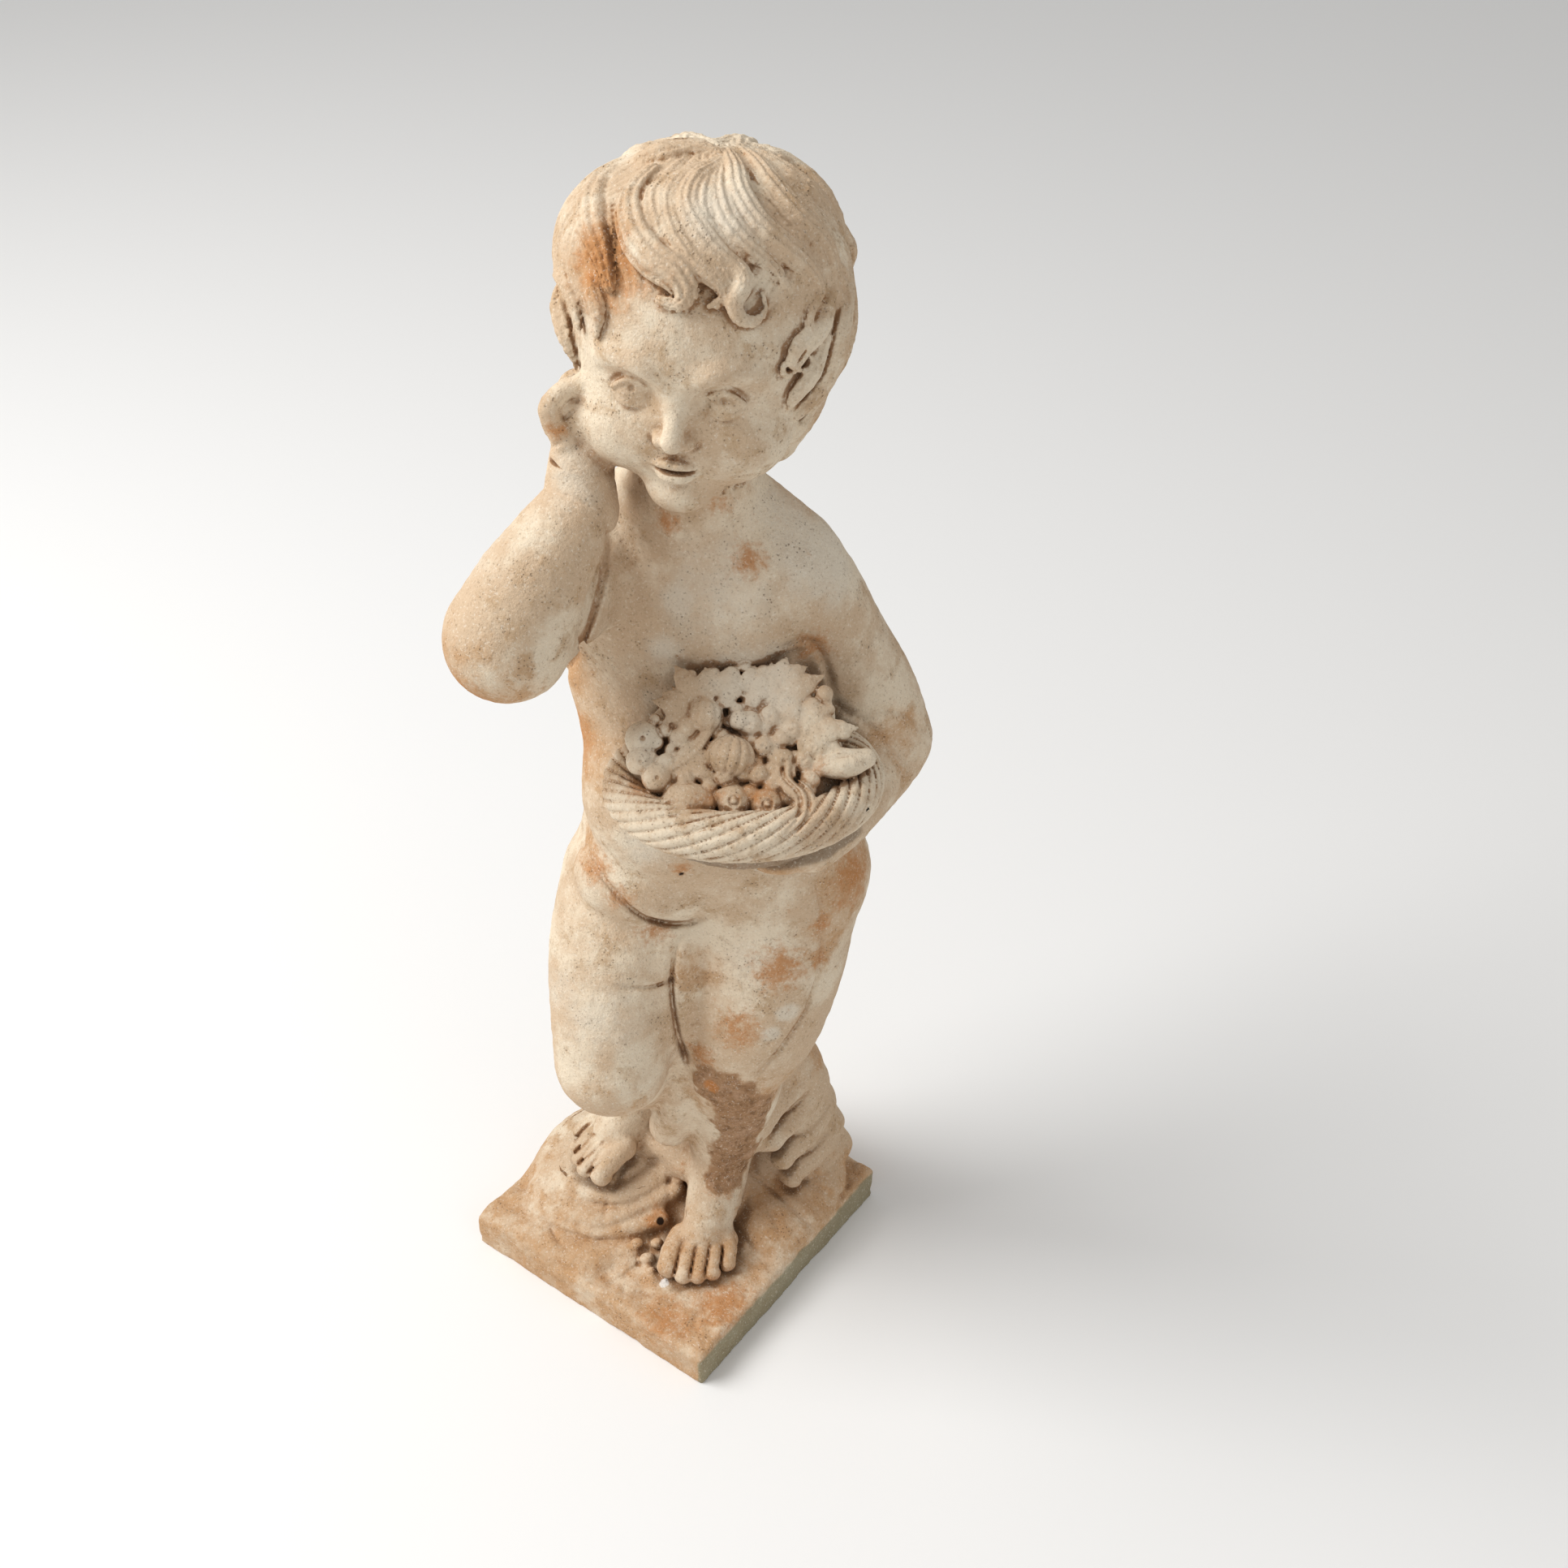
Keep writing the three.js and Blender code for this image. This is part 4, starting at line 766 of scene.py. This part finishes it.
def leaf(stem, tip, width):
    """A lobed leaf with a vein down each lobe, lying on the slope of the heap."""
    stem, tip = np.array(stem, float), np.array(tip, float)
    way = tip - stem
    out = stem - UNDER_HEAP
    out = out / np.linalg.norm(out)
    side = np.cross(out, way)
    for turn, reach in ((-78, 0.55), (-38, 0.8), (38, 0.8), (78, 0.55), (0, 1)):
        a = math.radians(turn)
        lobe = reach * (math.cos(a) * way + math.sin(a) * side)
        middle, end = stem + lobe * 0.5 + out * (1.5 + 0.6 * reach), stem + lobe - out
        blade = [[*stem, 2.5], [*middle, width * reach * 0.85], [*end, 0.8]]
        limb(WORLD, blade, 0.4, 3, 1.9, UNDER_HEAP)
    for turn, reach in ((-78, 0.5), (-38, 0.75), (0, 0.95), (38, 0.75), (78, 0.5)):
        a = math.radians(turn)
        lobe = reach * (math.cos(a) * way + math.sin(a) * side)
        top = stem + lobe * 0.5 + out * 4
        vein = [[*(stem + out * 2), 0.5], [*top, 0.9], [*(stem + lobe), 0.4]]
        crease(WORLD, vein, 0.9, 2, out, 9)


def ribbed(base, half, ribs, depth):
    """A ribbed fruit such as a small melon: its ribs run from pole to pole along its front."""
    middle = base.origin
    half = np.array(half, np.float32)

    def distance(p):
        q = (p - middle) @ base.axes.T / half
        k0 = length(q)
        d = k0 * (k0 - 1) / np.maximum(length(q / half), 1e-6)
        return d + depth * (1 - np.abs(np.sin(np.arctan2(q[:, 0], q[:, 1]) * ribs / 2))) ** 2

    form("add", 0.8, [middle], half.max() + 2, distance)


def fruit():
    # the heap leans up against the belly and chest, and small berries fill its gaps
    ellipsoid(Frame([50, 80, 510], 0, 36), [0, 0, 0], [61, 50, 18.5], 2)
    ellipsoid(Frame([54, 84, 494], 0, 10), [0, 0, 0], [60, 44, 12], 3)
    ellipsoid(Frame([56, 60, 524], 0, 40), [0, 0, 0], [52, 32, 18], 2)
    for i in range(100):
        turn, reach = i * 2.4, math.sqrt((i + 0.5) / 100)
        side = 52 + 60 * reach * math.cos(turn)
        front = 88 + 34 * reach * math.sin(turn)
        up = 506 + (118 - front) * 0.85 - 1.5
        size = 4.8 + 1.5 * math.sin(i * 1.7)
        ellipsoid(WORLD, [side, front, up], [size, size, size], 0.8)
    # leaves lie on the heap, flattened across its slope
    for stem, tip, width in (
        ([28, 74, 545], [14, 54, 562], 8), ([37, 71, 547], [52, 55, 560], 8),
        ([54, 69, 549], [74, 60, 556], 7), ([66, 75, 543], [102, 61, 554], 10),
        ([84, 88, 532], [119, 86, 533], 9), ([22, 76, 543], [0, 70, 548], 6),
        ([14, 96, 524], [38, 108, 514], 6), ([72, 64, 554], [92, 58, 558], 6),
    ):
        leaf(stem, tip, width)
    rounds = [
        [1, 103, 517, 9], [-8, 95, 523, 8.5], [-6, 84, 531, 10.5], [56, 83, 537, 8],
        [68, 80, 539, 7], [80, 86, 533, 6.5], [63, 93, 528, 6.5], [74, 99, 522, 7],
        [86, 99, 521, 6.5], [71, 106, 515, 6.5], [59, 105, 517, 6.5], [92, 94, 526, 6],
        [97, 103, 518, 5.5], [50, 84, 541, 6], [74, 90, 531, 5.5], [20, 84, 538, 6],
    ]
    for side, front, up, radius in rounds:
        ellipsoid(WORLD, [side, front, up], [radius] * 3, 0.8)
        # the small eye of each fruit
        eye_at = np.array([side, front, up]) + radius * 0.96 * TOOL
        ellipsoid(WORLD, eye_at, [radius * 0.16] * 3, 0.4, "cut")
    # two apples whose blossom ends face out
    for side, front, up in ((44, 116, 507), (63, 118, 505)):
        ellipsoid(WORLD, [side, front, up], [9.8] * 3, 0.8)
        centre = np.array([side, front, up])
        ellipsoid(WORLD, centre + 10 * TOOL, [3.6] * 3, 0.6, "cut")
        ellipsoid(WORLD, centre + 7.6 * TOOL, [2.1] * 3, 0.4)
    ellipsoid(Frame([18, 113, 508], 8), [0, 0, 0], [15, 10, 9.5], 0.8)
    ribbed(Frame([44, 96, 524], 10, -40, 10), [15, 13, 13], 13, 1.8)
    # a fig with its curling husk
    ribbed(Frame([31, 79, 541], 0, -50), [10.5, 10.5, 10.5], 10, 1.2)
    for shift in (-2.4, 0, 2.4):
        husk = [[33, 80, 541, 3.4], [28, 87, 534, 2.6], [20, 94, 527, 2.4], [6, 100, 522, 1.6]]
        limb(WORLD, [[a + shift, b + shift, c, r] for a, b, c, r in husk], 0.5, 3)
    # a split pod
    limb(WORLD, [[95, 101, 518, 6], [108, 102, 519, 9], [122, 98, 519, 6]], 0.8)
    crease(WORLD, [[98, 103, 524, 0.6], [108, 104, 526, 2.6], [119, 100, 524, 0.6]], 2)
    # a doubled leaf hanging over the rim
    band = [[77, 103, 521, 4], [76, 112, 515, 6], [84, 119, 509, 7], [84, 127, 502, 6.5]]
    limb(WORLD, [*band, [73, 132, 493, 2.5]], 0.8, 4)
    for shift in (-2.5, 2.5):
        line = [[77 + shift, 105, 526, 1], [76 + shift, 114, 521, 2.4], [84 + shift, 122, 515, 2.4]]
        crease(WORLD, [*line, [83 + shift, 130, 506, 2], [75 + shift, 134, 497, 1]], 1.2)


for carve in (
    slab, mound, torso, legs, arms, creases, head_and_face, hair, basket_bowl, basket_rim, fruit,
):
    carve()


# ------------------------------------------------------------------ from field to mesh
def field_at(blocks, offsets):
    """The field at every block's centre plus each offset, taking the forms in turn."""
    reach = np.abs(offsets).max(axis=0)
    values = np.full((len(blocks), len(offsets)), 3 * FAR, np.float32)
    for kind, blend, low, high, distance in forms:
        near = np.flatnonzero(np.all((blocks > low - reach) & (blocks < high + reach), axis=1))
        for pick in np.array_split(near, max(len(near) // 8000, 1)):
            if not len(pick):
                continue
            p = (blocks[pick, None] + offsets).reshape(-1, 3)
            d = distance(p).reshape(len(pick), -1)
            old = values[pick]
            if kind == "add":
                values[pick] = soft_min(old, d, blend)
            elif kind == "cut":
                values[pick] = -soft_min(-old, d, blend)
            else:
                values[pick] = old + d
    return values


def skin(region, low, high, cell):
    """Points (figure frame, mm) and quads of the closed surface of the field inside a region."""
    low, high = np.array(low, float), np.array(high, float)
    size = BLOCK * cell
    counts = np.ceil((high - low) / size).astype(int)
    index = np.stack(np.meshgrid(*map(np.arange, counts), indexing="ij"), axis=-1).reshape(-1, 3)
    blocks = (low + (index + 0.5) * size).astype(np.float32)
    coarse = field_at(blocks, np.zeros((1, 3), np.float32))[:, 0]
    coarse = np.maximum(coarse, region(blocks))
    active = np.abs(coarse) < size * 1.1 + 1.5
    dense = np.repeat(np.repeat(np.repeat(coarse.reshape(counts), BLOCK, 0), BLOCK, 1), BLOCK, 2)
    ticks = (np.arange(BLOCK) - (BLOCK - 1) / 2) * cell
    offsets = np.stack(np.meshgrid(ticks, ticks, ticks, indexing="ij"), axis=-1).reshape(-1, 3)
    offsets = offsets.astype(np.float32)
    blocks = blocks[active]
    fine = field_at(blocks, offsets)
    inside = region((blocks[:, None] + offsets).reshape(-1, 3)).reshape(fine.shape)
    fine = np.maximum(fine, inside).reshape(-1, BLOCK, BLOCK, BLOCK)
    six = dense.reshape(counts[0], BLOCK, counts[1], BLOCK, counts[2], BLOCK)
    i, j, k = index[active].T
    six[i, :, j, :, k, :] = fine
    grid = openvdb.FloatGrid(3 * FAR)
    grid.copyFromArray(np.clip(dense, -FAR, FAR) / cell)
    points, quads = grid.convertToQuads(0.0)
    return low + (points + 0.5) * cell, quads


# ------------------------------------------------------------------ the pieces
def above(height):
    return lambda p: height - p[:, 2]


def below(height):
    return lambda p: p[:, 2] - height


def in_front(front):
    return lambda p: front - p[:, 1]


def ball(centre, radius):
    return lambda p: length(p - np.array(centre, np.float32)) - radius


def basket_well(grow):
    """An oval well round the basket."""
    half = np.array([RIM_HALF_WIDTH + grow, RIM_HALF_DEPTH + grow], np.float32)

    def distance(p):
        q = p - BASKET.origin
        wall = (length(q[:, :2] / half) - 1) * half[1]
        return np.maximum(wall, np.abs(q[:, 2] - 4) - 50 - grow)

    return distance


def both(*regions):
    return lambda p: np.max([region(p) for region in regions], axis=0)


def outside(region):
    return lambda p: -region(p)


# Neighbouring pieces of the one casting overlap by a few millimetres, so no seam shows.
HEAD_BALL = [40, 6, 752]
# Each piece: its region, the box searched for it, the cell it is carved at and its triangles.
PIECES = {
    "cast_base": (both(below(62), above(0)), [-172, -172, -8], [172, 172, 68], 1.5, 120000),
    "cast_legs": (
        both(above(58), below(336)), [-110, -120, 52], [150, 120, 342], 1.4, 150000,
    ),
    "cast_body": (
        both(above(332), outside(ball(HEAD_BALL, 108)), outside(basket_well(11))),
        [-130, -100, 326], [186, 150, 690], 1.5, 150000,
    ),
    "cast_basket": (basket_well(15), [-40, 10, 430], [144, 156, 576], 1.0, 190000),
    "cast_head_front": (
        both(ball(HEAD_BALL, 112), in_front(-2)), [-76, -10, 636], [156, 122, 858], 1.0, 190000,
    ),
    "cast_head_back": (
        both(ball(HEAD_BALL, 112), outside(in_front(2))),
        [-76, -110, 636], [156, 10, 858], 1.1, 120000,
    ),
}
CELL_FACTOR = 1


# Where each finish, and each painted shade, has spread: [side, front, up, radius, strength].
STAINS_AND_SHADE = {
    "warm": [
        (-92, 88, 580, 62, 0.8), (-60, 30, 575, 40, 0.5), (112, 20, 372, 60, 0.8),
        (100, 40, 330, 40, 0.6), (150, 30, 480, 46, 0.5), (-50, 20, 480, 50, 0.8),
        (-48, 10, 530, 40, 0.7), (-50, 20, 405, 40, 0.6), (-12, 52, 808, 44, 0.8),
        (-36, 30, 845, 30, 0.5), (60, 100, 450, 62, 0.7), (50, 60, 195, 60, 0.7),
        (100, -40, 150, 60, 0.6), (20, 60, 320, 40, 0.5), (-40, 70, 225, 50, 0.5),
        (100, 60, 690, 30, 0.5), (36, 60, 100, 40, 0.5), (96, 0, 700, 40, 0.6),
    ],
    "pale": [
        (40, 42, 604, 66, 0.6), (100, 30, 612, 52, 0.9), (82, 20, 634, 40, 0.8),
        (20, 42, 598, 22, 0.9), (8, 50, 566, 20, 0.9), (-4, 54, 530, 18, 0.8),
        (60, 70, 548, 52, 0.9), (0, 90, 530, 30, 0.6), (80, 68, 284, 14, 1.1),
        (68, 72, 270, 12, 1.0), (-7, 69, 434, 34, 0.6), (48, 60, 836, 34, 0.8),
        (-40, 60, 290, 50, 0.7), (-60, 50, 300, 40, 0.6), (60, 50, 330, 44, 0.5),
        (-36, 60, 690, 36, 0.6), (-80, 60, 640, 40, 0.7), (120, 10, 540, 40, 0.6),
    ],
    "rust": [
        (-10, 52, 806, 40, 0.9), (16, 68, 806, 26, 0.6), (60, 40, 621, 19, 0.85),
        (88, 39, 697, 14, 1.0), (84, 40, 683, 12, 0.7), (-44, 50, 711, 13, 0.9),
        (14, 38, 646, 16, 0.8), (46, 38, 658, 16, 0.6), (74, 66, 322, 34, 0.9),
        (46, 70, 274, 32, 0.8), (-5, 51, 350, 20, 0.8), (-28, 53, 384, 20, 0.7),
        (-41, 42, 398, 24, 0.8), (13, 72, 418, 12, 1.0), (45, 123, 458, 16, 0.8),
        (28, 106, 29, 44, 0.9), (-12, 118, 29, 38, 0.8), (33, 37, 82, 24, 0.9),
        (-26, -21, 71, 18, 0.9), (9, 8, 72, 20, 0.8), (-6, 100, 508, 22, 1.0),
        (28, 118, 504, 24, 0.9), (58, 116, 508, 22, 0.9), (92, 104, 510, 24, 0.9),
        (56, 96, 518, 20, 0.8), (103, 54, 350, 16, 0.9), (101, 54, 320, 16, 0.7),
        (-100, 90, 570, 44, 0.8), (-14, 37, 41, 22, 0.9), (96, 40, 560, 24, 0.8),
        (120, 30, 372, 40, 0.9), (-52, 10, 480, 40, 0.8), (20, 60, 240, 24, 0.8),
    ],
    "orange": [(27, 63, 212, 14, 0.9), (40, 66, 206, 9, 0.5), (64, 66, 218, 10, 0.5)],
    # near-black spots are painted shade, standing in for the dark inside small holes
    "hole_shade": [(-14, -17, 85, 9, 1.0), (-14, 37, 41, 6, 1.0), (13, 69, 413, 4, 0.8)],
    "paint": [(-13, 86, 30, 8, 0.9)],
}
# The old mortar repair runs from the knee down the front of the standing shin to the ankle.
REPAIR = spine(
    WORLD,
    [
        [36, 58, 214, 24], [46, 50, 200, 25], [48, 44, 170, 22], [46, 38, 140, 20],
        [43, 34, 112, 20], [38, 32, 92, 20],
    ],
    4,
)


def spread(p, centre, radius):
    """One at the centre of a stain or a patch of painted shade, fading to nothing at its radius."""
    return smooth_step(1 - length(p - np.array(centre, np.float32)) / radius)


def mortar(p):
    """One where the repair covers the stone, with a soft ragged edge."""
    ragged = 5 * noise(p, 16, 21) + 3 * noise(p, 6, 22)
    return smooth_step((ragged + 3 - nearest(REPAIR, p)) / 9)


def stains_and_shade(p):
    """How far each finish and each patch of painted shade has spread over the stone, worked out from where
    a point lies.
    """
    values = {}
    for name, marks in STAINS_AND_SHADE.items():
        values[name] = np.zeros(len(p), np.float32)
        for side, front, up, radius, strength in marks:
            mark = strength * spread(p, [side, front, up], radius)
            values[name] = np.maximum(values[name], mark)
    values["warm"] = np.maximum(values["warm"], 0.5 * smooth_step((78 - p[:, 2]) / 40))
    values["mortar"] = mortar(p)
    # painted shade: the bowl under the rim is painted darker grey where the rim's shadow falls
    bowl = BASKET.local(p)
    under = smooth_step((-14 - bowl[:, 2]) / 8) * smooth_step((bowl[:, 2] + 50) / 6)
    around = length(bowl[:, :2] / [RIM_HALF_WIDTH, RIM_HALF_DEPTH])
    values["under_rim_shade"] = under * smooth_step((1.1 - around) / 0.15)
    # painted shade: the slab's right-hand side, turned away from the key light, is painted darker
    # grey-green
    edge = SLAB_SIDE / 2 - SLAB.local(p)[:, 0]
    values["slab_side_shade"] = smooth_step((8 - edge) / 6) * smooth_step((30 - p[:, 2]) / 8)
    return values


def wear(p):
    """How far the weathered skin stands off the carved one: soft wear, and a lumpy repair."""
    fine = 0.3 * noise(p, 24, 11) + 0.28 * noise(p, 9, 12) + 0.2 * noise(p, 3.6, 13)
    rock = smooth_step((90 - p[:, 2]) / 30) * (0.7 * noise(p, 15, 14) + 0.3 * noise(p, 5, 15))
    crust = mortar(p) * (1.4 * noise(p, 7, 16) + 0.9 * noise(p, 3.4, 17) + 0.8)
    return (fine + rock + crust) * smooth_step(p[:, 2] / 4)


def vertices(mesh):
    """Each vertex's place and normal."""
    places, normals = np.empty((2, len(mesh.vertices) * 3), np.float32)
    mesh.vertices.foreach_get("co", places)
    mesh.vertex_normals.foreach_get("vector", normals)
    return places.reshape(-1, 3), normals.reshape(-1, 3)


def move_vertices(mesh, places):
    """Moves the vertices, none of them past the box of the solids."""
    places = np.clip(places, CAD_BOX[0], CAD_BOX[1])
    mesh.vertices.foreach_set("co", places.astype(np.float32).ravel())
    mesh.update()


def thinned(mesh, budget):
    """The mesh with its flattest triangles merged away, down to a number of triangles."""
    carrier = bpy.data.objects.new("carrier", mesh)
    bpy.context.scene.collection.objects.link(carrier)
    thinning = carrier.modifiers.new("thinning", "DECIMATE")
    thinning.ratio = min(budget / (2 * len(mesh.polygons)), 1)
    seen = carrier.evaluated_get(bpy.context.evaluated_depsgraph_get())
    thin = bpy.data.meshes.new_from_object(seen)
    bpy.data.objects.remove(carrier)
    bpy.data.meshes.remove(mesh)
    return thin


def cast_piece(name, finish):
    region, low, high, cell, budget = PIECES[name]
    points, quads = skin(region, low, high, cell * CELL_FACTOR)
    points = points.astype(np.float32)
    turn = np.array(Matrix.Rotation(math.radians(CORNER_TURN), 3, "Z"))
    row = points * [MM, -MM, MM] @ turn.T
    rough = bpy.data.meshes.new("rough")
    rough.from_pydata(row.tolist(), [], quads[:, ::-1].tolist())
    rough.shade_smooth()
    rough.update()
    move_vertices(rough, row + vertices(rough)[1] * wear(points)[:, None] * MM)
    mesh = thinned(rough, budget)
    mesh.name = name
    row, normals = vertices(mesh)
    move_vertices(mesh, row)
    points = (row @ turn / [MM, -MM, MM]).astype(np.float32)
    outward = normals @ turn * [1, -1, 1]
    values = stains_and_shade(points)
    # crevices (nook) and broad recesses (hollow) are darkened by how close the stone closes in round them:
    # partly dirt, partly painted shade
    for key, off in (("nook", 4), ("hollow", 14)):
        probe = (points + outward * off).astype(np.float32)
        open_air = field_at(probe, np.zeros((1, 3), np.float32))[:, 0]
        values[key] = np.clip(1 - open_air / off, -1, 1)
    for key, value in values.items():
        layer = mesh.attributes.new(key, "FLOAT", "POINT")
        layer.data.foreach_set("value", value.astype(np.float32))
    mesh.materials.append(finish)
    piece = bpy.data.objects.new(name, mesh)
    bpy.context.scene.collection.objects.link(piece)
    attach(piece, "root")
    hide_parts("cherub_statue")


# ------------------------------------------------------------------ finishes
def linear(hex_colour):
    """An sRGB hex colour as linear red, green, blue and alpha."""
    parts = [int(hex_colour[i : i + 2], 16) / 255 for i in (1, 3, 5)]
    return [v / 12.92 if v <= 0.04045 else ((v + 0.055) / 1.055) ** 2.4 for v in parts] + [1]


def node(tree, kind, settings=None, **links):
    """Adds a node with its settings. A link or value is given by its socket's name, with _ for
    a space, or by i and its socket's number."""
    made = tree.nodes.new(kind)
    for key, value in (settings or {}).items():
        setattr(made, key, value)
    for key, value in links.items():
        socket = made.inputs[int(key[1:]) if key[1:].isdigit() else key.replace("_", " ")]
        if isinstance(value, bpy.types.NodeSocket):
            tree.links.new(value, socket)
        else:
            socket.default_value = value
    return made


def weathered_cast_stone():
    """Reconstituted stone: lime-pale cement and sand, cast in a mould and left outdoors. The
    skin is matt and sandy, washed grey-white where rain runs, tan and rust in the hollows,
    the hollows darkened partly with painted shade; painted shade also lies under the rim,
    down the slab's right-hand side and in small holes."""
    material = bpy.data.materials.new("weathered_cast_stone")
    material.use_nodes = True
    tree = material.node_tree
    shader = tree.nodes["Principled BSDF"]
    place = node(tree, "ShaderNodeTexCoord").outputs["Object"]
    spread_of = {
        name: node(tree, "ShaderNodeAttribute", {"attribute_name": name}).outputs["Fac"]
        for name in (*STAINS_AND_SHADE, "mortar", "under_rim_shade", "slab_side_shade", "nook", "hollow")
    }
    # clouds of damp, blotches and grit, each by its size in millimetres
    cloud = {
        size: node(
            tree, "ShaderNodeTexNoise", None,
            Vector=place, Scale=1 / (size * MM), Detail=detail, Roughness=roughness,
        ).outputs["Fac"]
        for size, detail, roughness in ((60, 6, 0.62), (20, 6, 0.68), (6, 5, 0.7), (1.6, 2, 0.6))
    }
    # Each layer: its colour, the pattern and the stain or painted shade it follows, how much the
    # pattern counts beside it, and from where to where their sum shows, up to what strength.
    layers = (
        ("#e6d6bd", 60, None, 1.0, 0.44, 0.6, 0.9),
        ("#b3926b", 20, None, 1.0, 0.5, 0.7, 0.75),
        ("#c0956a", 20, "warm", 1.5, 0.85, 1.5, 0.9),
        ("#e2d7c4", 20, "pale", 1.4, 0.8, 1.5, 0.75),
        ("#bd8350", 6, "rust", 2.0, 1.15, 2.0, 0.85),
        # darker in crevices and recesses: partly dirt, partly painted shade
        ("#9d7149", 6, "nook", 0.9, 0.68, 1.2, 0.8),
        ("#755a40", 20, "hollow", 0.5, 0.7, 1.4, 0.65),
        # painted shade down the slab's right-hand side
        ("#908b72", 20, "slab_side_shade", 1.2, 0.9, 1.5, 0.85),
        ("#a8825f", 20, "mortar", 1.4, 0.95, 1.55, 0.95),
        ("#76563a", 6, "mortar", 1.6, 1.66, 2.05, 0.75),
        ("#c4a081", 20, "mortar", 2.0, 1.95, 2.3, 0.7),
        # painted shade on the bowl under the basket's rim
        ("#8c7b68", 20, "under_rim_shade", 0.8, 0.6, 1.4, 0.75),
        ("#c9874e", 6, "orange", 1.0, 0.9, 1.3, 0.85),
        ("#7d6247", 1.6, None, 1.0, 0.58, 0.74, 0.4),
        ("#f1e8d8", 1.6, None, -1.0, -0.42, -0.3, 0.4),
        # painted shade inside small holes
        ("#2c1d12", 6, "hole_shade", 0.4, 0.5, 0.8, 1.0),
        ("#efece6", 6, "paint", 0.6, 0.7, 0.9, 0.8),
    )
    colour = linear("#cfb597")
    for tint, size, stain_or_shade, share, low, high, strength in layers:
        follow = spread_of[stain_or_shade] if stain_or_shade else 0.0
        total = node(
            tree, "ShaderNodeMath", {"operation": "MULTIPLY_ADD"},
            i0=cloud[size], i1=share, i2=follow,
        )
        amount = node(
            tree, "ShaderNodeMapRange", {"interpolation_type": "SMOOTHSTEP"},
            Value=total.outputs[0], From_Min=low, From_Max=high, To_Max=strength,
        )
        mixed = node(
            tree, "ShaderNodeMix", {"data_type": "RGBA"},
            i0=amount.outputs["Result"], i6=colour, i7=linear(tint),
        )
        colour = mixed.outputs[2]
    # pits left by air bubbles, thick in some places and absent from others
    depth = cloud[6]
    for size, edge in ((5, 0.06), (2.6, 0.12)):
        bubble = node(tree, "ShaderNodeTexVoronoi", None, Vector=place, Scale=1 / (size * MM))
        hollow = node(
            tree, "ShaderNodeMapRange", {"interpolation_type": "SMOOTHSTEP"},
            Value=bubble.outputs["Distance"], From_Min=edge + 0.1, From_Max=edge,
        )
        where = node(
            tree, "ShaderNodeMapRange", {"interpolation_type": "SMOOTHSTEP"},
            Value=cloud[20], From_Min=0.46, From_Max=0.64, To_Max=0.55,
        )
        pit = node(
            tree, "ShaderNodeMath", {"operation": "MULTIPLY"},
            i0=hollow.outputs["Result"], i1=where.outputs["Result"],
        ).outputs[0]
        mixed = node(
            tree, "ShaderNodeMix", {"data_type": "RGBA"}, i0=pit, i6=colour, i7=linear("#6f5640")
        )
        colour = mixed.outputs[2]
        depth = node(
            tree, "ShaderNodeMath", {"operation": "MULTIPLY_ADD"}, i0=pit, i1=-0.8, i2=depth
        ).outputs[0]
    tree.links.new(colour, shader.inputs["Base Color"])
    shader.inputs["Roughness"].default_value = 0.94
    shader.inputs["IOR"].default_value = 1.5
    shader.inputs["Specular IOR Level"].default_value = 0.2
    for pattern, share in ((cloud[20], 0.8), (cloud[1.6], 0.35)):
        depth = node(
            tree, "ShaderNodeMath", {"operation": "MULTIPLY_ADD"}, i0=pattern, i1=share, i2=depth
        ).outputs[0]
    bump = node(tree, "ShaderNodeBump", None, Strength=0.9, Distance=1.4 * MM, Height=depth)
    tree.links.new(bump.outputs["Normal"], shader.inputs["Normal"])
    return material


stone = weathered_cast_stone()
for piece_name in PIECES:
    cast_piece(piece_name, stone)


# ------------------------------------------------------------------ floor, light and camera
FLOOR_HALF = 6


def plain_floor():
    mesh = bpy.data.meshes.new("floor")
    sheet = bmesh.new()
    bmesh.ops.create_grid(sheet, x_segments=1, y_segments=1, size=FLOOR_HALF)
    sheet.to_mesh(mesh)
    sheet.free()
    floor = bpy.data.objects.new("floor", mesh)
    bpy.context.scene.collection.objects.link(floor)
    pale = bpy.data.materials.new("pale_floor")
    pale.use_nodes = True
    shader = pale.node_tree.nodes["Principled BSDF"]
    shader.inputs["Base Color"].default_value = linear("#f4f3f1")
    shader.inputs["Roughness"].default_value = 0.9
    mesh.materials.append(pale)


def soft_light(name, place, aim, size, watts):
    lamp = bpy.data.lights.new(name, "AREA")
    lamp.energy = watts
    lamp.size = size
    holder = bpy.data.objects.new(name, lamp)
    holder.location = place
    holder.rotation_euler = (Vector(aim) - Vector(place)).to_track_quat("-Z", "Y").to_euler()
    bpy.context.scene.collection.objects.link(holder)


plain_floor()
soft_light("key", (-1.5, -1.3, 2.5), (0, 0, 0.4), 1.8, 82)
soft_light("fill", (2.2, -0.6, 1.4), (0, 0, 0.4), 2.0, 6)
world = bpy.data.worlds.new("studio")
bpy.context.scene.world = world
world.use_nodes = True
sky = world.node_tree.nodes["Background"]
sky.inputs["Color"].default_value = linear("#ffffff")
sky.inputs["Strength"].default_value = 0.46
bpy.context.scene.view_settings.view_transform = "Standard"

# the camera looks down at the figure from its front left; film and lens are millimetres
VIEW_BEARING, VIEW_DROP = math.radians(36.34), math.radians(38.46)
VIEW_FROM, FILM_WIDTH, LENS = (0.648, -0.7418, 1.2103), 36, 44.72
camera_data = bpy.data.cameras.new("camera")
camera_data.sensor_width = FILM_WIDTH
camera_data.lens = LENS
camera = bpy.data.objects.new("camera", camera_data)
bpy.context.scene.collection.objects.link(camera)
bpy.context.scene.camera = camera
camera.location = VIEW_FROM
camera.rotation_euler = Euler((math.pi / 2 - VIEW_DROP, 0, VIEW_BEARING))
